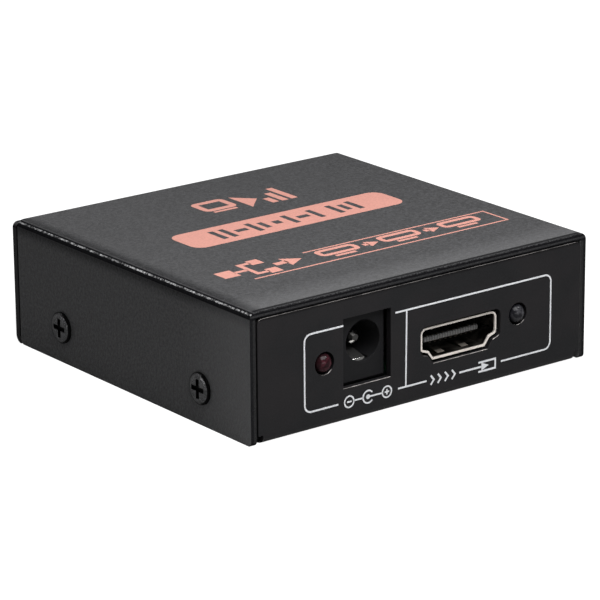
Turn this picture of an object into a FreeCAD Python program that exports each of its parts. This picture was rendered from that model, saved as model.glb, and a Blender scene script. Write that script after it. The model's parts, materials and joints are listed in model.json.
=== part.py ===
"""Small sheet-metal video splitter box: one input and a power jack in front, two outputs at the rear.

Millimetres. The origin is the middle of the resting face, +Z is up, the front panel looks along -Y and
+X is to the right as the front is seen. Every size is a cell of the sheet, and every sub-part reads it there.
"""
import FreeCAD, Part
import os
import re
import Sketcher

DRIVING_SIZES = {
    # folded sheet case
    "case_width": 63.4,
    "case_height": 20.0,
    "cover_depth": 59.7,
    "sheet": 1.0,
    "cover_bend": 0.15,
    "tray_bend": 0.3,
    "panel_proud": 0.15,
    "rear_gap": 0.35,
    "side_gap": 0.2,
    "top_gap": 0.2,
    "rear_drop": 0.55,
    "panel_corner": 0.9,
    "cover_corner": 0.7,
    "relief_width": 0.85,
    "relief_rise": 0.1,
    # side tabs and the screws that hold the cover
    "tab_length": 9.0,
    "tab_height": 9.4,
    "tab_corner": 1.2,
    "tab_relief": 1.0,
    "side_screw_front_inset": 12.2,
    "side_screw_rear_inset": 13.1,
    "side_screw_rise": 5.65,
    "side_screw_reach": 3.0,
    "screw_size": 2.5,
    "screw_head": 4.9,
    "screw_head_rise": 0.6,
    "screw_head_edge": 0.3,
    "screw_slot_width": 0.75,
    "screw_slot_span": 3.0,
    "screw_slot_depth": 0.42,
    "screw_crown_lip": 0.15,
    "screw_slack": 0.15,
    "thread_slack": 0.03,
    # circuit board and what carries it
    "standoff_height": 2.3,
    "standoff_size": 5.0,
    "standoff_shank": 3.6,
    "board_thickness": 1.6,
    "board_side_gap": 1.3,
    "board_edge_gap": 0.5,
    "board_corner": 1.0,
    "board_screw_side_inset": 3.7,
    "board_screw_row_inset": 9.1,
    "board_screw_reach": 3.6,
    "lug_slack": 0.15,
    # where the sockets, the jack and the lamps stand, as shares of half the tray's width
    "input_socket_share": 0.2285,
    "output_socket_share": 0.393,
    "jack_share": -0.35,
    "power_lamp_share": -0.609,
    "input_lamp_share": 0.592,
    "output_lamp_share": 0.7935,
    # video sockets
    "socket_width": 14.6,
    "socket_height": 5.15,
    "socket_base": 10.1,
    "socket_side": 3.5,
    "socket_shoulder": 12.0,
    "socket_shoulder_drop": 3.9,
    "socket_corner": 1.0,
    "socket_low_corner": 0.6,
    "socket_sheet": 0.3,
    "socket_depth": 10.6,
    "socket_lift": 1.0,
    "socket_recess": 0.5,
    "socket_window": 0.4,
    "block_depth": 4.4,
    "tongue_width": 10.4,
    "tongue_height": 0.95,
    "tongue_recess": 1.85,
    "tongue_drop": 0.05,
    "tongue_bevel": 0.22,
    "contact_pitch": 1.0,
    "contact_width": 0.36,
    "contact_sheet": 0.15,
    "contact_inset": 0.05,
    "contact_tail": 0.9,
    "contact_step": 0.55,
    "contact_slack": 0.05,
    "upper_contacts": 10,
    "lower_contacts": 9,
    "spring_width": 1.3,
    "spring_window": 2.0,
    "spring_start": 1.3,
    "spring_length": 3.6,
    "spring_reach": 0.4,
    "spring_spread": 4.6,
    "spring_heel": 1.4,
    "spring_root": 0.05,
    "spring_end_gap": 0.5,
    "side_spring_rise": 0.55,
    "side_spring_width": 1.1,
    "side_window": 1.7,
    "leg_width": 1.2,
    "leg_pitch": 6.0,
    "leg_start": 2.6,
    "leg_reach": 2.4,
    "leg_overlap": 0.5,
    # power jack
    "jack_width": 9.0,
    "jack_height": 11.0,
    "jack_depth": 13.3,
    "jack_collar": 3.4,
    "jack_barrel_side": 0.3,
    "jack_barrel_drop": 0.4,
    "jack_barrel_round": 3.6,
    "jack_chamfer": 0.7,
    "jack_gap": 0.15,
    "jack_axis_rise": 6.5,
    "jack_bore": 6.25,
    "jack_bore_depth": 10.3,
    "jack_window_left": 4.5,
    "jack_window_right": 4.3,
    "jack_window_low": 0.3,
    "jack_window_high": 10.9,
    "pin_size": 2.0,
    "pin_root": 1.5,
    "pin_recess": 1.7,
    "pin_tip": 0.55,
    "pin_point": 1.0,
    "pin_lug_lip": 0.4,
    "lug_sheet": 0.4,
    "lug_width": 2.6,
    "lug_reach": 2.6,
    "leaf_width": 2.4,
    "leaf_sheet": 0.3,
    "leaf_channel": 2.8,
    "leaf_channel_rise": 4.1,
    "leaf_end_gap": 0.3,
    "leaf_tip": 0.75,
    "leaf_tip_rise": 2.8,
    "leaf_curl": 1.15,
    "leaf_curl_rise": 3.5,
    "leaf_crown": 4.0,
    "leaf_crown_length": 0.9,
    "leaf_crown_rise": 4.15,
    "leaf_knee": 7.8,
    "leaf_knee_rise": 2.52,
    "leaf_pivot": 11.0,
    "leaf_pivot_rise": 2.25,
    "leaf_bead": 0.7,
    "leaf_gap": 0.12,
    "shunt_start": 8.4,
    "shunt_length": 1.6,
    "shunt_reach": 0.55,
    # lamps
    "lamp_size": 3.0,
    "lamp_length": 5.3,
    "lamp_flange": 3.8,
    "lamp_flange_depth": 1.0,
    "lamp_flat": 0.05,
    "lamp_proud": 0.7,
    "lamp_hole": 3.5,
    "lamp_rise": 4.95,
    "lamp_leg": 0.5,
    "lamp_leg_pitch": 2.54,
    "lamp_leg_run": 1.6,
    "lamp_leg_reach": 2.6,
    # parts on the board, placed by shares of half the board's width
    "chip_width": 12.0,
    "chip_height": 1.4,
    "chip_lift": 0.1,
    "chip_bevel": 0.2,
    "chip_share": 0.142,
    "chip_row": 0.5,
    "chip_leads": 16,
    "chip_lead_pitch": 0.65,
    "lead_width": 0.3,
    "lead_sheet": 0.15,
    "lead_foot": 0.6,
    "lead_run": 0.5,
    "memory_width": 3.9,
    "memory_length": 4.9,
    "memory_share": 0.674,
    "memory_row": 8.0,
    "memory_leads": 4,
    "memory_lead_pitch": 1.27,
    "crystal_length": 11.2,
    "crystal_width": 4.5,
    "crystal_height": 3.3,
    "crystal_rim": 0.45,
    "crystal_share": 0.6915,
    "crystal_row": -4.5,
    "inductor_width": 6.0,
    "inductor_height": 2.8,
    "inductor_drum": 5.0,
    "inductor_flange": 0.6,
    "inductor_share": -0.4435,
    "inductor_row": -2.5,
    "regulator_width": 6.5,
    "regulator_length": 3.5,
    "regulator_height": 1.6,
    "regulator_share": -0.727,
    "regulator_row": 5.0,
    "regulator_tab_width": 3.0,
    "regulator_lead_width": 0.7,
    "regulator_lead_pitch": 2.3,
    "regulator_lead_run": 1.5,
    "can_size": 6.3,
    "can_height": 5.4,
    "can_base": 6.6,
    "can_base_height": 1.1,
    "can_row": -9.5,
    "can_share": -0.798,
    "can_pitch": 8.0,
    "chip_part_length": 1.6,
    "chip_part_width": 0.8,
    "chip_part_height": 0.5,
    "chip_part_pitch": 1.9,
    "chip_part_setback": 10.5,
    "resistor_count": 5,
    "capacitor_count": 6,
    "array_length": 2.5,
    "array_width": 1.2,
    "array_height": 0.6,
    "array_pitch": 4.2,
    "array_setback": 14.2,
}

doc = FreeCAD.newDocument("VideoSplitter")
sizes = doc.addObject("Spreadsheet::Sheet", "Sizes")
for row, (alias, size) in enumerate(DRIVING_SIZES.items(), start=1):
    sizes.set(f"A{row}", alias.replace("_", " "))
    sizes.set(f"B{row}", str(size))
    sizes.setAlias(f"B{row}", alias)
doc.recompute()

# Places that follow from the driving sizes
TRAY_DEPTH = "(panel_proud + cover_depth + rear_gap + sheet)"
FRONT = f"(-{TRAY_DEPTH} / 2)"
REAR = f"({TRAY_DEPTH} / 2)"
COVER_FRONT = f"({FRONT} + panel_proud)"
HALF_TRAY = "(case_width / 2 - sheet - side_gap)"
HALF_BOARD = f"({HALF_TRAY} - sheet - board_side_gap)"
HALF_BOARD_DEPTH = f"({TRAY_DEPTH} / 2 - sheet - board_edge_gap)"
BOARD_SCREW_SIDE = f"({HALF_BOARD} - board_screw_side_inset)"
BOARD_SCREW_ROW = f"({HALF_BOARD_DEPTH} - board_screw_row_inset)"
INPUT_SOCKET_SIDE = f"(input_socket_share * {HALF_TRAY})"
OUTPUT_SOCKET_SIDE = f"(output_socket_share * {HALF_TRAY})"
JACK_SIDE = f"(jack_share * {HALF_TRAY})"
POWER_LAMP_SIDE = f"(power_lamp_share * {HALF_TRAY})"
INPUT_LAMP_SIDE = f"(input_lamp_share * {HALF_TRAY})"
OUTPUT_LAMP_SIDE = f"(output_lamp_share * {HALF_TRAY})"
BOARD_TOP = "(sheet + standoff_height + board_thickness)"
FRONT_SOCKET = f"({FRONT} + socket_recess)"
REAR_SOCKET = f"({REAR} - socket_recess)"
JACK_FRONT = f"({FRONT} + sheet + jack_gap)"
JACK_AXIS = f"({BOARD_TOP} + jack_axis_rise)"
FRONT_LAMP = f"({FRONT} - lamp_proud)"
REAR_LAMP = f"({REAR} + lamp_proud)"
LAMP_AXIS = f"({BOARD_TOP} + lamp_rise)"
SIDE_SCREW_ROWS = (f"({FRONT} + side_screw_front_inset)", f"({REAR} - side_screw_rear_inset)")
TONGUE_MIDDLE = "(socket_lift + socket_height / 2 - tongue_drop)"
SIDE_SPRING_MIDDLE = f"({TONGUE_MIDDLE} + side_spring_rise)"
SHUNT_LOW = "(leaf_pivot_rise + leaf_bead / 2)"
SHUNT_TOP = f"({SHUNT_LOW} + lug_sheet + lug_slack)"
# How far a cut starts outside the metal that it goes through
BEYOND = "2"
# Which way the corners of the socket's outline move as it grows by one
SOCKET_GROWTH = ((1, 1), (1, -0.74), (0.6, -0.86), (0.5, -1))
# Which way the leaf's lower side lies from its upper side: at the tip, at the curl and beyond it
LEAF_INWARD = ((0.87, -0.5), (0.66, -0.86), (0, -1), (0, -1), (0, -1), (0, -1))

X_AXIS = FreeCAD.Vector(1, 0, 0)
Y_AXIS = FreeCAD.Vector(0, 1, 0)
Z_AXIS = FreeCAD.Vector(0, 0, 1)
HALF_TURN = 180

nodes = []


def cells(expression):
    """Point each size named in an expression at its cell."""
    def cell(match):
        return f"Sizes.{match[0]}" if match[0] in DRIVING_SIZES else match[0]
    return re.sub(r"[A-Za-z_]\w*", cell, str(expression))


def value(expression):
    """What an expression of sizes comes to now."""
    return float(sizes.evalExpression(cells(expression)))


def keep(feature, node):
    """Label a finished sub-part with its node's name."""
    feature.Label = node
    nodes.append(feature)
    return feature


def place(feature, side="0", row="0", rise="0", angle=0, axis=Z_AXIS):
    """Put a sub-part where its expressions say, turned about an axis."""
    feature.Placement = FreeCAD.Placement(FreeCAD.Vector(0, 0, 0), FreeCAD.Rotation(axis, angle))
    for letter, expression in (("x", side), ("y", row), ("z", rise)):
        feature.setExpression(f"Placement.Base.{letter}", cells(expression))
    return feature


def rectangle(left, right, low, high):
    """The four corners of a rectangle."""
    return [(left, low), (right, low), (right, high), (left, high)]


def mirrored(points):
    """An outline made of a right half, listed from top to bottom, and its mirror image on the left."""
    return points + [(f"-({across})", along) for across, along in reversed(points)]


def tie(drawing, geometry, corner, across, along):
    """Tie one point of a sketch to its expressions."""
    for kind, expression in (("DistanceX", across), ("DistanceY", along)):
        index = drawing.addConstraint(Sketcher.Constraint(kind, -1, 1, geometry, corner, value(expression)))
        drawing.setExpression(f"Constraints[{index}]", cells(expression))


def draw_outline(drawing, points):
    """A closed outline of straight runs through tied points."""
    spots = [FreeCAD.Vector(value(across), value(along), 0) for across, along in points]
    first = drawing.GeometryCount
    count = len(points)
    for index in range(count):
        line = Part.LineSegment(spots[index], spots[(index + 1) % count])
        drawing.addGeometry(line, False)
    for index in range(count):
        following = first + (index + 1) % count
        drawing.addConstraint(Sketcher.Constraint("Coincident", first + index, 2, following, 1))
        tie(drawing, first + index, 1, *points[index])


def draw_circle(drawing, across, along, size):
    """A circle of a given diameter with a tied centre."""
    spot = FreeCAD.Vector(value(across), value(along), 0)
    radius = f"({size}) / 2"
    circle = drawing.addGeometry(Part.Circle(spot, Z_AXIS, value(radius)), False)
    tie(drawing, circle, 3, across, along)
    index = drawing.addConstraint(Sketcher.Constraint("Radius", circle, value(radius)))
    drawing.setExpression(f"Constraints[{index}]", cells(radius))


def new_body(name):
    return doc.addObject("PartDesign::Body", name)


def sketch(body, name, role, outlines=(), circles=(), offset="0"):
    """A sketch on one of the body's own planes."""
    drawing = body.newObject("Sketcher::SketchObject", f"{body.Name}_{name}")
    plane = next(item for item in body.Origin.OriginFeatures if item.Role == role)
    drawing.AttachmentSupport = (plane, [""])
    drawing.MapMode = "FlatFace"
    drawing.setExpression(".AttachmentOffset.Base.z", cells(offset))
    for outline in outlines:
        draw_outline(drawing, outline)
    for circle in circles:
        draw_circle(drawing, *circle)
    return drawing


def grow(kind, body, drawing, length, reverse, side):
    feature = body.newObject(kind, f"{drawing.Name}_{kind[12:].lower()}")
    feature.Profile = drawing
    feature.Reversed = reverse
    feature.SideType = side
    feature.setExpression("Length", cells(length))
    body.Tip = feature
    return feature


def pad(body, drawing, length, reverse=False, side="One side"):
    return grow("PartDesign::Pad", body, drawing, length, reverse, side)


def pocket(body, drawing, length, reverse=False, side="One side"):
    return grow("PartDesign::Pocket", body, drawing, length, reverse, side)


def soften(kind, body, size, choose):
    """Round or chamfer the edges of the body's last feature that the test picks."""
    doc.recompute()
    base = body.Tip
    names = [f"Edge{index}" for index, edge in enumerate(base.Shape.Edges, start=1) if choose(edge)]
    feature = body.newObject(kind, f"{base.Name}_{kind[12:].lower()}")
    feature.Base = (base, names)
    feature.setExpression("Radius" if kind.endswith("Fillet") else "Size", cells(size))
    body.Tip = feature
    return feature


def fillet(body, radius, choose):
    return soften("PartDesign::Fillet", body, radius, choose)


def chamfer(body, size, choose):
    return soften("PartDesign::Chamfer", body, size, choose)


def near(number, expression):
    return abs(number - value(expression)) < 1e-4


def runs_along(edge, letter):
    """Whether a straight edge runs along X, Y or Z."""
    start, end = (vertex.Point for vertex in (edge.Vertexes[0], edge.Vertexes[-1]))
    others = [axis for axis in "xyz" if axis != letter]
    still = all(abs(getattr(start, axis) - getattr(end, axis)) < 1e-6 for axis in others)
    return still and abs(getattr(start, letter) - getattr(end, letter)) > 1e-6


def middle(edge):
    return edge.BoundBox.Center


def box(name, left, right, front, back, low, high):
    """A block between six planes."""
    block = doc.addObject("Part::Box", name)
    block.setExpression("Length", cells(f"({right}) - ({left})"))
    block.setExpression("Width", cells(f"({back}) - ({front})"))
    block.setExpression("Height", cells(f"({high}) - ({low})"))
    return place(block, left, front, low)


def rod(name, size, length, side="0", row="0", rise="0", angle=0, axis=X_AXIS):
    """A cylinder of a given diameter along Z, turned about an axis."""
    cylinder = doc.addObject("Part::Cylinder", name)
    cylinder.setExpression("Radius", cells(f"({size}) / 2"))
    cylinder.setExpression("Height", cells(length))
    return place(cylinder, side, row, rise, angle, axis)


def join(name, pieces):
    fused = doc.addObject("Part::MultiFuse", name)
    fused.Shapes = pieces
    fused.Refine = True
    return fused


def take(name, base, tool):
    cut = doc.addObject("Part::Cut", name)
    cut.Base = base
    cut.Tool = tool
    cut.Refine = True
    return cut


def group(name, pieces):
    """Separate solids kept as one sub-part."""
    compound = doc.addObject("Part::Compound", name)
    compound.Links = pieces
    return compound


def strip(points, thickness_axis, start, width):
    """A flat strip cut to an outline in a plane across one axis."""
    corners = [FreeCAD.Vector(*point) for point in points + points[:1]]
    face = Part.Face(Part.makePolygon(corners))
    face.translate(thickness_axis * start)
    return face.extrude(thickness_axis * width)


def shaped(name, shape):
    """A sub-part whose form is worked out in code."""
    feature = doc.addObject("Part::Feature", name)
    feature.Shape = shape
    return feature


def socket_outline(grown="0", side="0", rise="0"):
    """The flat-topped socket section with stepped lower corners, grown by a margin."""
    half = [
        ("socket_width / 2", "socket_lift + socket_height"),
        ("socket_width / 2", "socket_lift + socket_height - socket_side"),
        ("socket_shoulder / 2", "socket_lift + socket_height - socket_shoulder_drop"),
        ("socket_base / 2", "socket_lift"),
    ]
    grown_half = [
        (f"{across} + ({grown}) * {out}", f"{along} + ({grown}) * {up}")
        for (across, along), (out, up) in zip(half, SOCKET_GROWTH)
    ]
    outline = mirrored(grown_half)
    return [(f"({side}) + ({across})", f"({rise}) + ({along})") for across, along in outline]


# Folded cover: top and both sides
def make_top_cover():
    body = new_body("top_cover")
    outer = [("case_width / 2", "0"), ("case_width / 2", "case_height")]
    inner = [("case_width / 2 - sheet", "case_height - sheet"), ("case_width / 2 - sheet", "0")]
    section = sketch(body, "section", "XZ_Plane", [mirrored_channel(outer, inner)], offset=f"-{COVER_FRONT}")
    pad(body, section, "cover_depth", reverse=True)
    fillet(body, "cover_bend + sheet", lambda edge: runs_along(edge, "y") and is_cover_ridge(edge, "0"))
    fillet(body, "cover_bend", lambda edge: runs_along(edge, "y") and is_cover_ridge(edge, "sheet"))
    fillet(body, "cover_corner", is_cover_foot)
    holes = [(row, "side_screw_rise", "screw_size + 2 * screw_slack") for row in SIDE_SCREW_ROWS]
    drilling = sketch(body, "screw_holes", "YZ_Plane", circles=holes)
    pocket(body, drilling, f"case_width + {BEYOND}", side="Symmetric")
    return keep(body, "top_cover")


def mirrored_channel(outer, inner):
    """The outline of a channel from the right half of its outside and of its inside."""
    left_outer = [(f"-({across})", along) for across, along in reversed(outer)]
    left_inner = [(f"-({across})", along) for across, along in reversed(inner)]
    return outer + left_outer + left_inner + inner


def is_cover_ridge(edge, depth):
    spot = middle(edge)
    return near(abs(spot.x), f"case_width / 2 - {depth}") and near(spot.z, f"case_height - {depth}")


def is_cover_foot(edge):
    spot = middle(edge)
    at_end = near(spot.y, COVER_FRONT) or near(spot.y, f"{COVER_FRONT} + cover_depth")
    return runs_along(edge, "x") and near(spot.z, "0") and at_end


# Folded tray: floor, front panel, full-width rear panel and four side tabs
def make_base_tray():
    body = new_body("base_tray")
    front_top = "case_height - sheet - top_gap"
    rear_top = "case_height - rear_drop"
    profile = [
        (FRONT, "0"),
        (REAR, "0"),
        (REAR, rear_top),
        (f"{REAR} - sheet", rear_top),
        (f"{REAR} - sheet", "sheet"),
        (f"{FRONT} + sheet", "sheet"),
        (f"{FRONT} + sheet", front_top),
        (FRONT, front_top),
    ]
    section = sketch(body, "section", "YZ_Plane", [profile])
    pad(body, section, "case_width", side="Symmetric")
    fillet(body, "tray_bend + sheet", lambda edge: is_tray_bend(edge, "0"))
    fillet(body, "tray_bend", lambda edge: is_tray_bend(edge, "sheet"))
    fillet(body, "panel_corner", is_rear_corner)

    margins = []
    for sign in ("", "-"):
        inside, outside = f"{sign}{HALF_TRAY}", f"{sign}(case_width / 2 + {BEYOND})"
        margins.append(rectangle(inside, outside, f"{FRONT} - {BEYOND}", f"{REAR} - sheet - tray_bend"))
    trim = sketch(body, "floor_trim", "XY_Plane", margins, offset=f"-{BEYOND}")
    pocket(body, trim, f"case_height + 2 * {BEYOND}", reverse=True)
    fillet(body, "panel_corner", is_front_corner)

    notches = []
    for sign in ("", "-"):
        inside, outside = f"{sign}({HALF_TRAY} - relief_width)", f"{sign}({HALF_TRAY} + {BEYOND})"
        notches.append(rectangle(inside, outside, f"-{BEYOND}", "sheet + tray_bend + relief_rise"))
    relief = sketch(body, "bend_relief", "XZ_Plane", notches, offset=f"-{FRONT} + {BEYOND}")
    pocket(body, relief, f"sheet + tray_bend + {BEYOND}")

    cut_front_panel(body)
    cut_rear_panel(body)
    add_side_tabs(body)
    shanks = [(across, along, "standoff_shank + 2 * thread_slack") for across, along in board_screw_spots()]
    seats = sketch(body, "standoff_seats", "XY_Plane", circles=shanks, offset=f"-{BEYOND}")
    pocket(body, seats, f"sheet + 2 * {BEYOND}", reverse=True)
    return keep(body, "base_tray")


def is_tray_bend(edge, depth):
    spot = middle(edge)
    at_bend = near(spot.y, f"{FRONT} + {depth}") or near(spot.y, f"{REAR} - {depth}")
    return runs_along(edge, "x") and at_bend and near(spot.z, depth)


def is_rear_corner(edge):
    spot = middle(edge)
    return runs_along(edge, "y") and near(spot.y, f"{REAR} - sheet / 2") and near(spot.z, "case_height - rear_drop")


def is_front_corner(edge):
    spot = middle(edge)
    at_top = near(spot.z, "case_height - sheet - top_gap")
    return runs_along(edge, "y") and near(spot.y, f"{FRONT} + sheet / 2") and at_top


def cut_front_panel(body):
    """The openings for the input socket, the power jack and the two front lamps."""
    jack_window = rectangle(
        f"{JACK_SIDE} - jack_window_left",
        f"{JACK_SIDE} + jack_window_right",
        f"{BOARD_TOP} + jack_window_low",
        f"{BOARD_TOP} + jack_window_high",
    )
    socket_window = socket_outline("socket_window", INPUT_SOCKET_SIDE, BOARD_TOP)
    lamps = [(side, LAMP_AXIS, "lamp_hole") for side in (POWER_LAMP_SIDE, INPUT_LAMP_SIDE)]
    openings = sketch(
        body, "front_openings", "XZ_Plane", [jack_window, socket_window], lamps, offset=f"-{FRONT} + {BEYOND}"
    )
    pocket(body, openings, f"sheet + 2 * {BEYOND}")
    round_windows(body, f"{FRONT} + sheet / 2", [INPUT_SOCKET_SIDE])


def cut_rear_panel(body):
    """The openings for the two output sockets and their lamps."""
    sides = (OUTPUT_SOCKET_SIDE, f"-{OUTPUT_SOCKET_SIDE}")
    windows = [socket_outline("socket_window", side, BOARD_TOP) for side in sides]
    lamps = [(side, LAMP_AXIS, "lamp_hole") for side in (OUTPUT_LAMP_SIDE, f"-{OUTPUT_LAMP_SIDE}")]
    openings = sketch(body, "rear_openings", "XZ_Plane", windows, lamps, offset=f"-{REAR} - {BEYOND}")
    pocket(body, openings, f"sheet + 2 * {BEYOND}", reverse=True)
    round_windows(body, f"{REAR} - sheet / 2", sides)


def round_windows(body, row, sides):
    """Round the upper and the lower outer corners of the sockets' openings in a panel."""
    top, shoulder = (along for across, along in socket_outline("socket_window", rise=BOARD_TOP)[:2])
    fillet(body, "socket_corner", lambda edge: is_window_corner(edge, row, sides, top))
    fillet(body, "socket_low_corner + socket_window", lambda edge: is_window_corner(edge, row, sides, shoulder))


def is_window_corner(edge, row, sides, height):
    """Whether an edge is an outer corner, at a given height, of a socket's opening in a panel."""
    spot = middle(edge)
    if not runs_along(edge, "y") or not near(spot.y, row) or not near(spot.z, height):
        return False
    reaches = [abs(spot.x - value(side)) for side in sides]
    return any(near(reach, "socket_width / 2 + socket_window") for reach in reaches)


def add_side_tabs(body):
    """Four tabs folded up from the floor, each with a hole for a cover screw."""
    tabs, reliefs = [], []
    for row in SIDE_SCREW_ROWS:
        for sign in ("", "-"):
            front, back = f"{row} - tab_length / 2", f"{row} + tab_length / 2"
            outside, inside = f"{sign}{HALF_TRAY}", f"{sign}({HALF_TRAY} - sheet)"
            tabs.append(rectangle(inside, outside, front, back))
            deep = f"{sign}({HALF_TRAY} - sheet - tray_bend)"
            beyond = f"{sign}({HALF_TRAY} + {BEYOND})"
            reliefs.append(rectangle(deep, beyond, f"{front} - tab_relief", front))
            reliefs.append(rectangle(deep, beyond, back, f"{back} + tab_relief"))
    footprint = sketch(body, "side_tabs", "XY_Plane", tabs)
    pad(body, footprint, "tab_height")
    slots = sketch(body, "tab_reliefs", "XY_Plane", reliefs, offset=f"-{BEYOND}")
    pocket(body, slots, f"sheet + 2 * {BEYOND}", reverse=True)
    fillet(body, "tray_bend + sheet", is_tab_bend)
    fillet(body, "tab_corner", is_tab_corner)
    holes = [(row, "side_screw_rise", "screw_size + 2 * thread_slack") for row in SIDE_SCREW_ROWS]
    drilling = sketch(body, "tab_holes", "YZ_Plane", circles=holes)
    pocket(body, drilling, f"case_width + {BEYOND}", side="Symmetric")


def is_tab_bend(edge):
    spot = middle(edge)
    beside_screw = any(near(spot.y, row) for row in SIDE_SCREW_ROWS)
    return runs_along(edge, "y") and beside_screw and near(abs(spot.x), HALF_TRAY) and near(spot.z, "0")


def is_tab_corner(edge):
    spot = middle(edge)
    return runs_along(edge, "x") and near(abs(spot.x), f"{HALF_TRAY} - sheet / 2") and near(spot.z, "tab_height")


def board_screw_spots():
    """The four places where the board is screwed down."""
    sides = (BOARD_SCREW_SIDE, f"-{BOARD_SCREW_SIDE}")
    rows = (BOARD_SCREW_ROW, f"-{BOARD_SCREW_ROW}")
    return [(side, row) for side in sides for row in rows]


# Pan-head screws, which point down and have the seat of the head at the origin
def make_plain_screw(name, reach):
    shaft = rod(f"{name}_shaft", "screw_size", reach, rise=f"-({reach})")
    crown = doc.addObject("Part::Cone", f"{name}_crown")
    crown.setExpression("Radius1", cells("screw_head / 2"))
    crown.setExpression("Radius2", cells("screw_slot_span / 2 + screw_crown_lip"))
    crown.setExpression("Height", cells("screw_head_rise - screw_head_edge"))
    place(crown, rise="screw_head_edge")
    rim = rod(f"{name}_rim", "screw_head", "screw_head_edge")
    return join(name, [shaft, rim, crown])


def make_cross_screw(name, reach):
    """A screw with a cross cut into its head."""
    low, high = "screw_head_rise - screw_slot_depth", f"screw_head_rise + {BEYOND}"
    half_span, half_slot = "screw_slot_span / 2", "screw_slot_width / 2"
    bars = [
        box(f"{name}_bar_1", f"-{half_span}", half_span, f"-{half_slot}", half_slot, low, high),
        box(f"{name}_bar_2", f"-{half_slot}", half_slot, f"-{half_span}", half_span, low, high),
    ]
    return take(name, make_plain_screw(f"{name}_blank", reach), join(f"{name}_cross", bars))


def make_cover_screws():
    screws = []
    for number, (row, sign) in enumerate([(row, sign) for row in SIDE_SCREW_ROWS for sign in (1, -1)]):
        screw = make_cross_screw(f"cover_screw_{number}", "side_screw_reach")
        screws.append(place(screw, f"{sign} * case_width / 2", row, "side_screw_rise", sign * 90, Y_AXIS))
    return keep(group("cover_screws", screws), "cover_screws")


def make_board_screws():
    screws = []
    for number, (side, row) in enumerate(board_screw_spots()):
        screw = make_plain_screw(f"board_screw_{number}", "board_screw_reach")
        screws.append(place(screw, side, row, BOARD_TOP))
    return keep(group("board_screws", screws), "board_screws")


def make_board_standoffs():
    """Round pillars riveted into the floor, tapped for the board's screws."""
    pillars = []
    for number, (side, row) in enumerate(board_screw_spots()):
        name = f"standoff_{number}"
        collar = rod(f"{name}_collar", "standoff_size", "standoff_height", side, row, "sheet")
        shank = rod(f"{name}_shank", "standoff_shank", "sheet", side, row)
        bore = rod(f"{name}_bore", "screw_size + 2 * thread_slack", f"sheet + standoff_height + {BEYOND}", side, row)
        pillars.append(take(name, join(f"{name}_blank", [collar, shank]), bore))
    return keep(group("board_standoffs", pillars), "board_standoffs")


# Circuit board, with a hole or slot for everything that goes through it
def make_circuit_board():
    body = new_body("circuit_board")
    outline = rectangle(f"-{HALF_BOARD}", HALF_BOARD, f"-{HALF_BOARD_DEPTH}", HALF_BOARD_DEPTH)
    pad(body, sketch(body, "outline", "XY_Plane", [outline]), "board_thickness")
    fillet(body, "board_corner", lambda edge: runs_along(edge, "z"))
    holes = [(side, row, "screw_size + 2 * screw_slack") for side, row in board_screw_spots()]
    slots = lamp_slots() + socket_slots() + jack_slots()
    openings = sketch(body, "openings", "XY_Plane", slots, holes, offset=f"-{BEYOND}")
    pocket(body, openings, f"board_thickness + 2 * {BEYOND}", reverse=True)
    place(body, rise="sheet + standoff_height")
    return keep(body, "circuit_board")


def slot_round(side, row, width, length):
    """The slot that leaves a lug its slack."""
    half_width, half_length = f"(({width}) / 2 + lug_slack)", f"(({length}) / 2 + lug_slack)"
    return rectangle(
        f"{side} - {half_width}", f"{side} + {half_width}", f"{row} - {half_length}", f"{row} + {half_length}"
    )


LAMPS = {
    "power_led": (POWER_LAMP_SIDE, FRONT_LAMP, 1),
    "input_led": (INPUT_LAMP_SIDE, FRONT_LAMP, 1),
    "output_1_led": (OUTPUT_LAMP_SIDE, REAR_LAMP, -1),
    "output_2_led": (f"-{OUTPUT_LAMP_SIDE}", REAR_LAMP, -1),
}

SOCKETS = {
    "input_socket": (INPUT_SOCKET_SIDE, FRONT_SOCKET, 1),
    "output_1_socket": (OUTPUT_SOCKET_SIDE, REAR_SOCKET, -1),
    "output_2_socket": (f"-{OUTPUT_SOCKET_SIDE}", REAR_SOCKET, -1),
}


def lamp_slots():
    slots = []
    for side, row, way in LAMPS.values():
        leg_row = f"{row} + {way} * (lamp_length + lamp_leg_run - lamp_leg / 2)"
        for step in (-0.5, 0.5):
            slots.append(slot_round(f"{side} + {step} * lamp_leg_pitch", leg_row, "lamp_leg", "lamp_leg"))
    return slots


def socket_slots():
    slots = []
    for side, row, way in SOCKETS.values():
        for step in (0, 1):
            leg_row = f"{row} + {way} * (leg_start + leg_width / 2 + {step} * leg_pitch)"
            for sign in (-1, 1):
                leg_side = f"{side} + {sign} * (socket_width - socket_sheet) / 2"
                slots.append(slot_round(leg_side, leg_row, "socket_sheet", "leg_width"))
    return slots


def jack_slots():
    """Slots for the pin's lug, the leaf's lug and the shunt's lug."""
    pin_row = f"{JACK_FRONT} + jack_depth + lug_sheet / 2"
    leaf_row = f"{JACK_FRONT} + leaf_pivot + leaf_bead / 2 + leaf_gap + lug_sheet / 2"
    shunt_side = f"{JACK_SIDE} - jack_width / 2 - lug_sheet / 2"
    shunt_row = f"{JACK_FRONT} + shunt_start + shunt_length / 2"
    return [
        slot_round(JACK_SIDE, pin_row, "lug_width", "lug_sheet"),
        slot_round(JACK_SIDE, leaf_row, "leaf_width", "lug_sheet"),
        slot_round(shunt_side, shunt_row, "lug_sheet", "shunt_length"),
    ]


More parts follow.
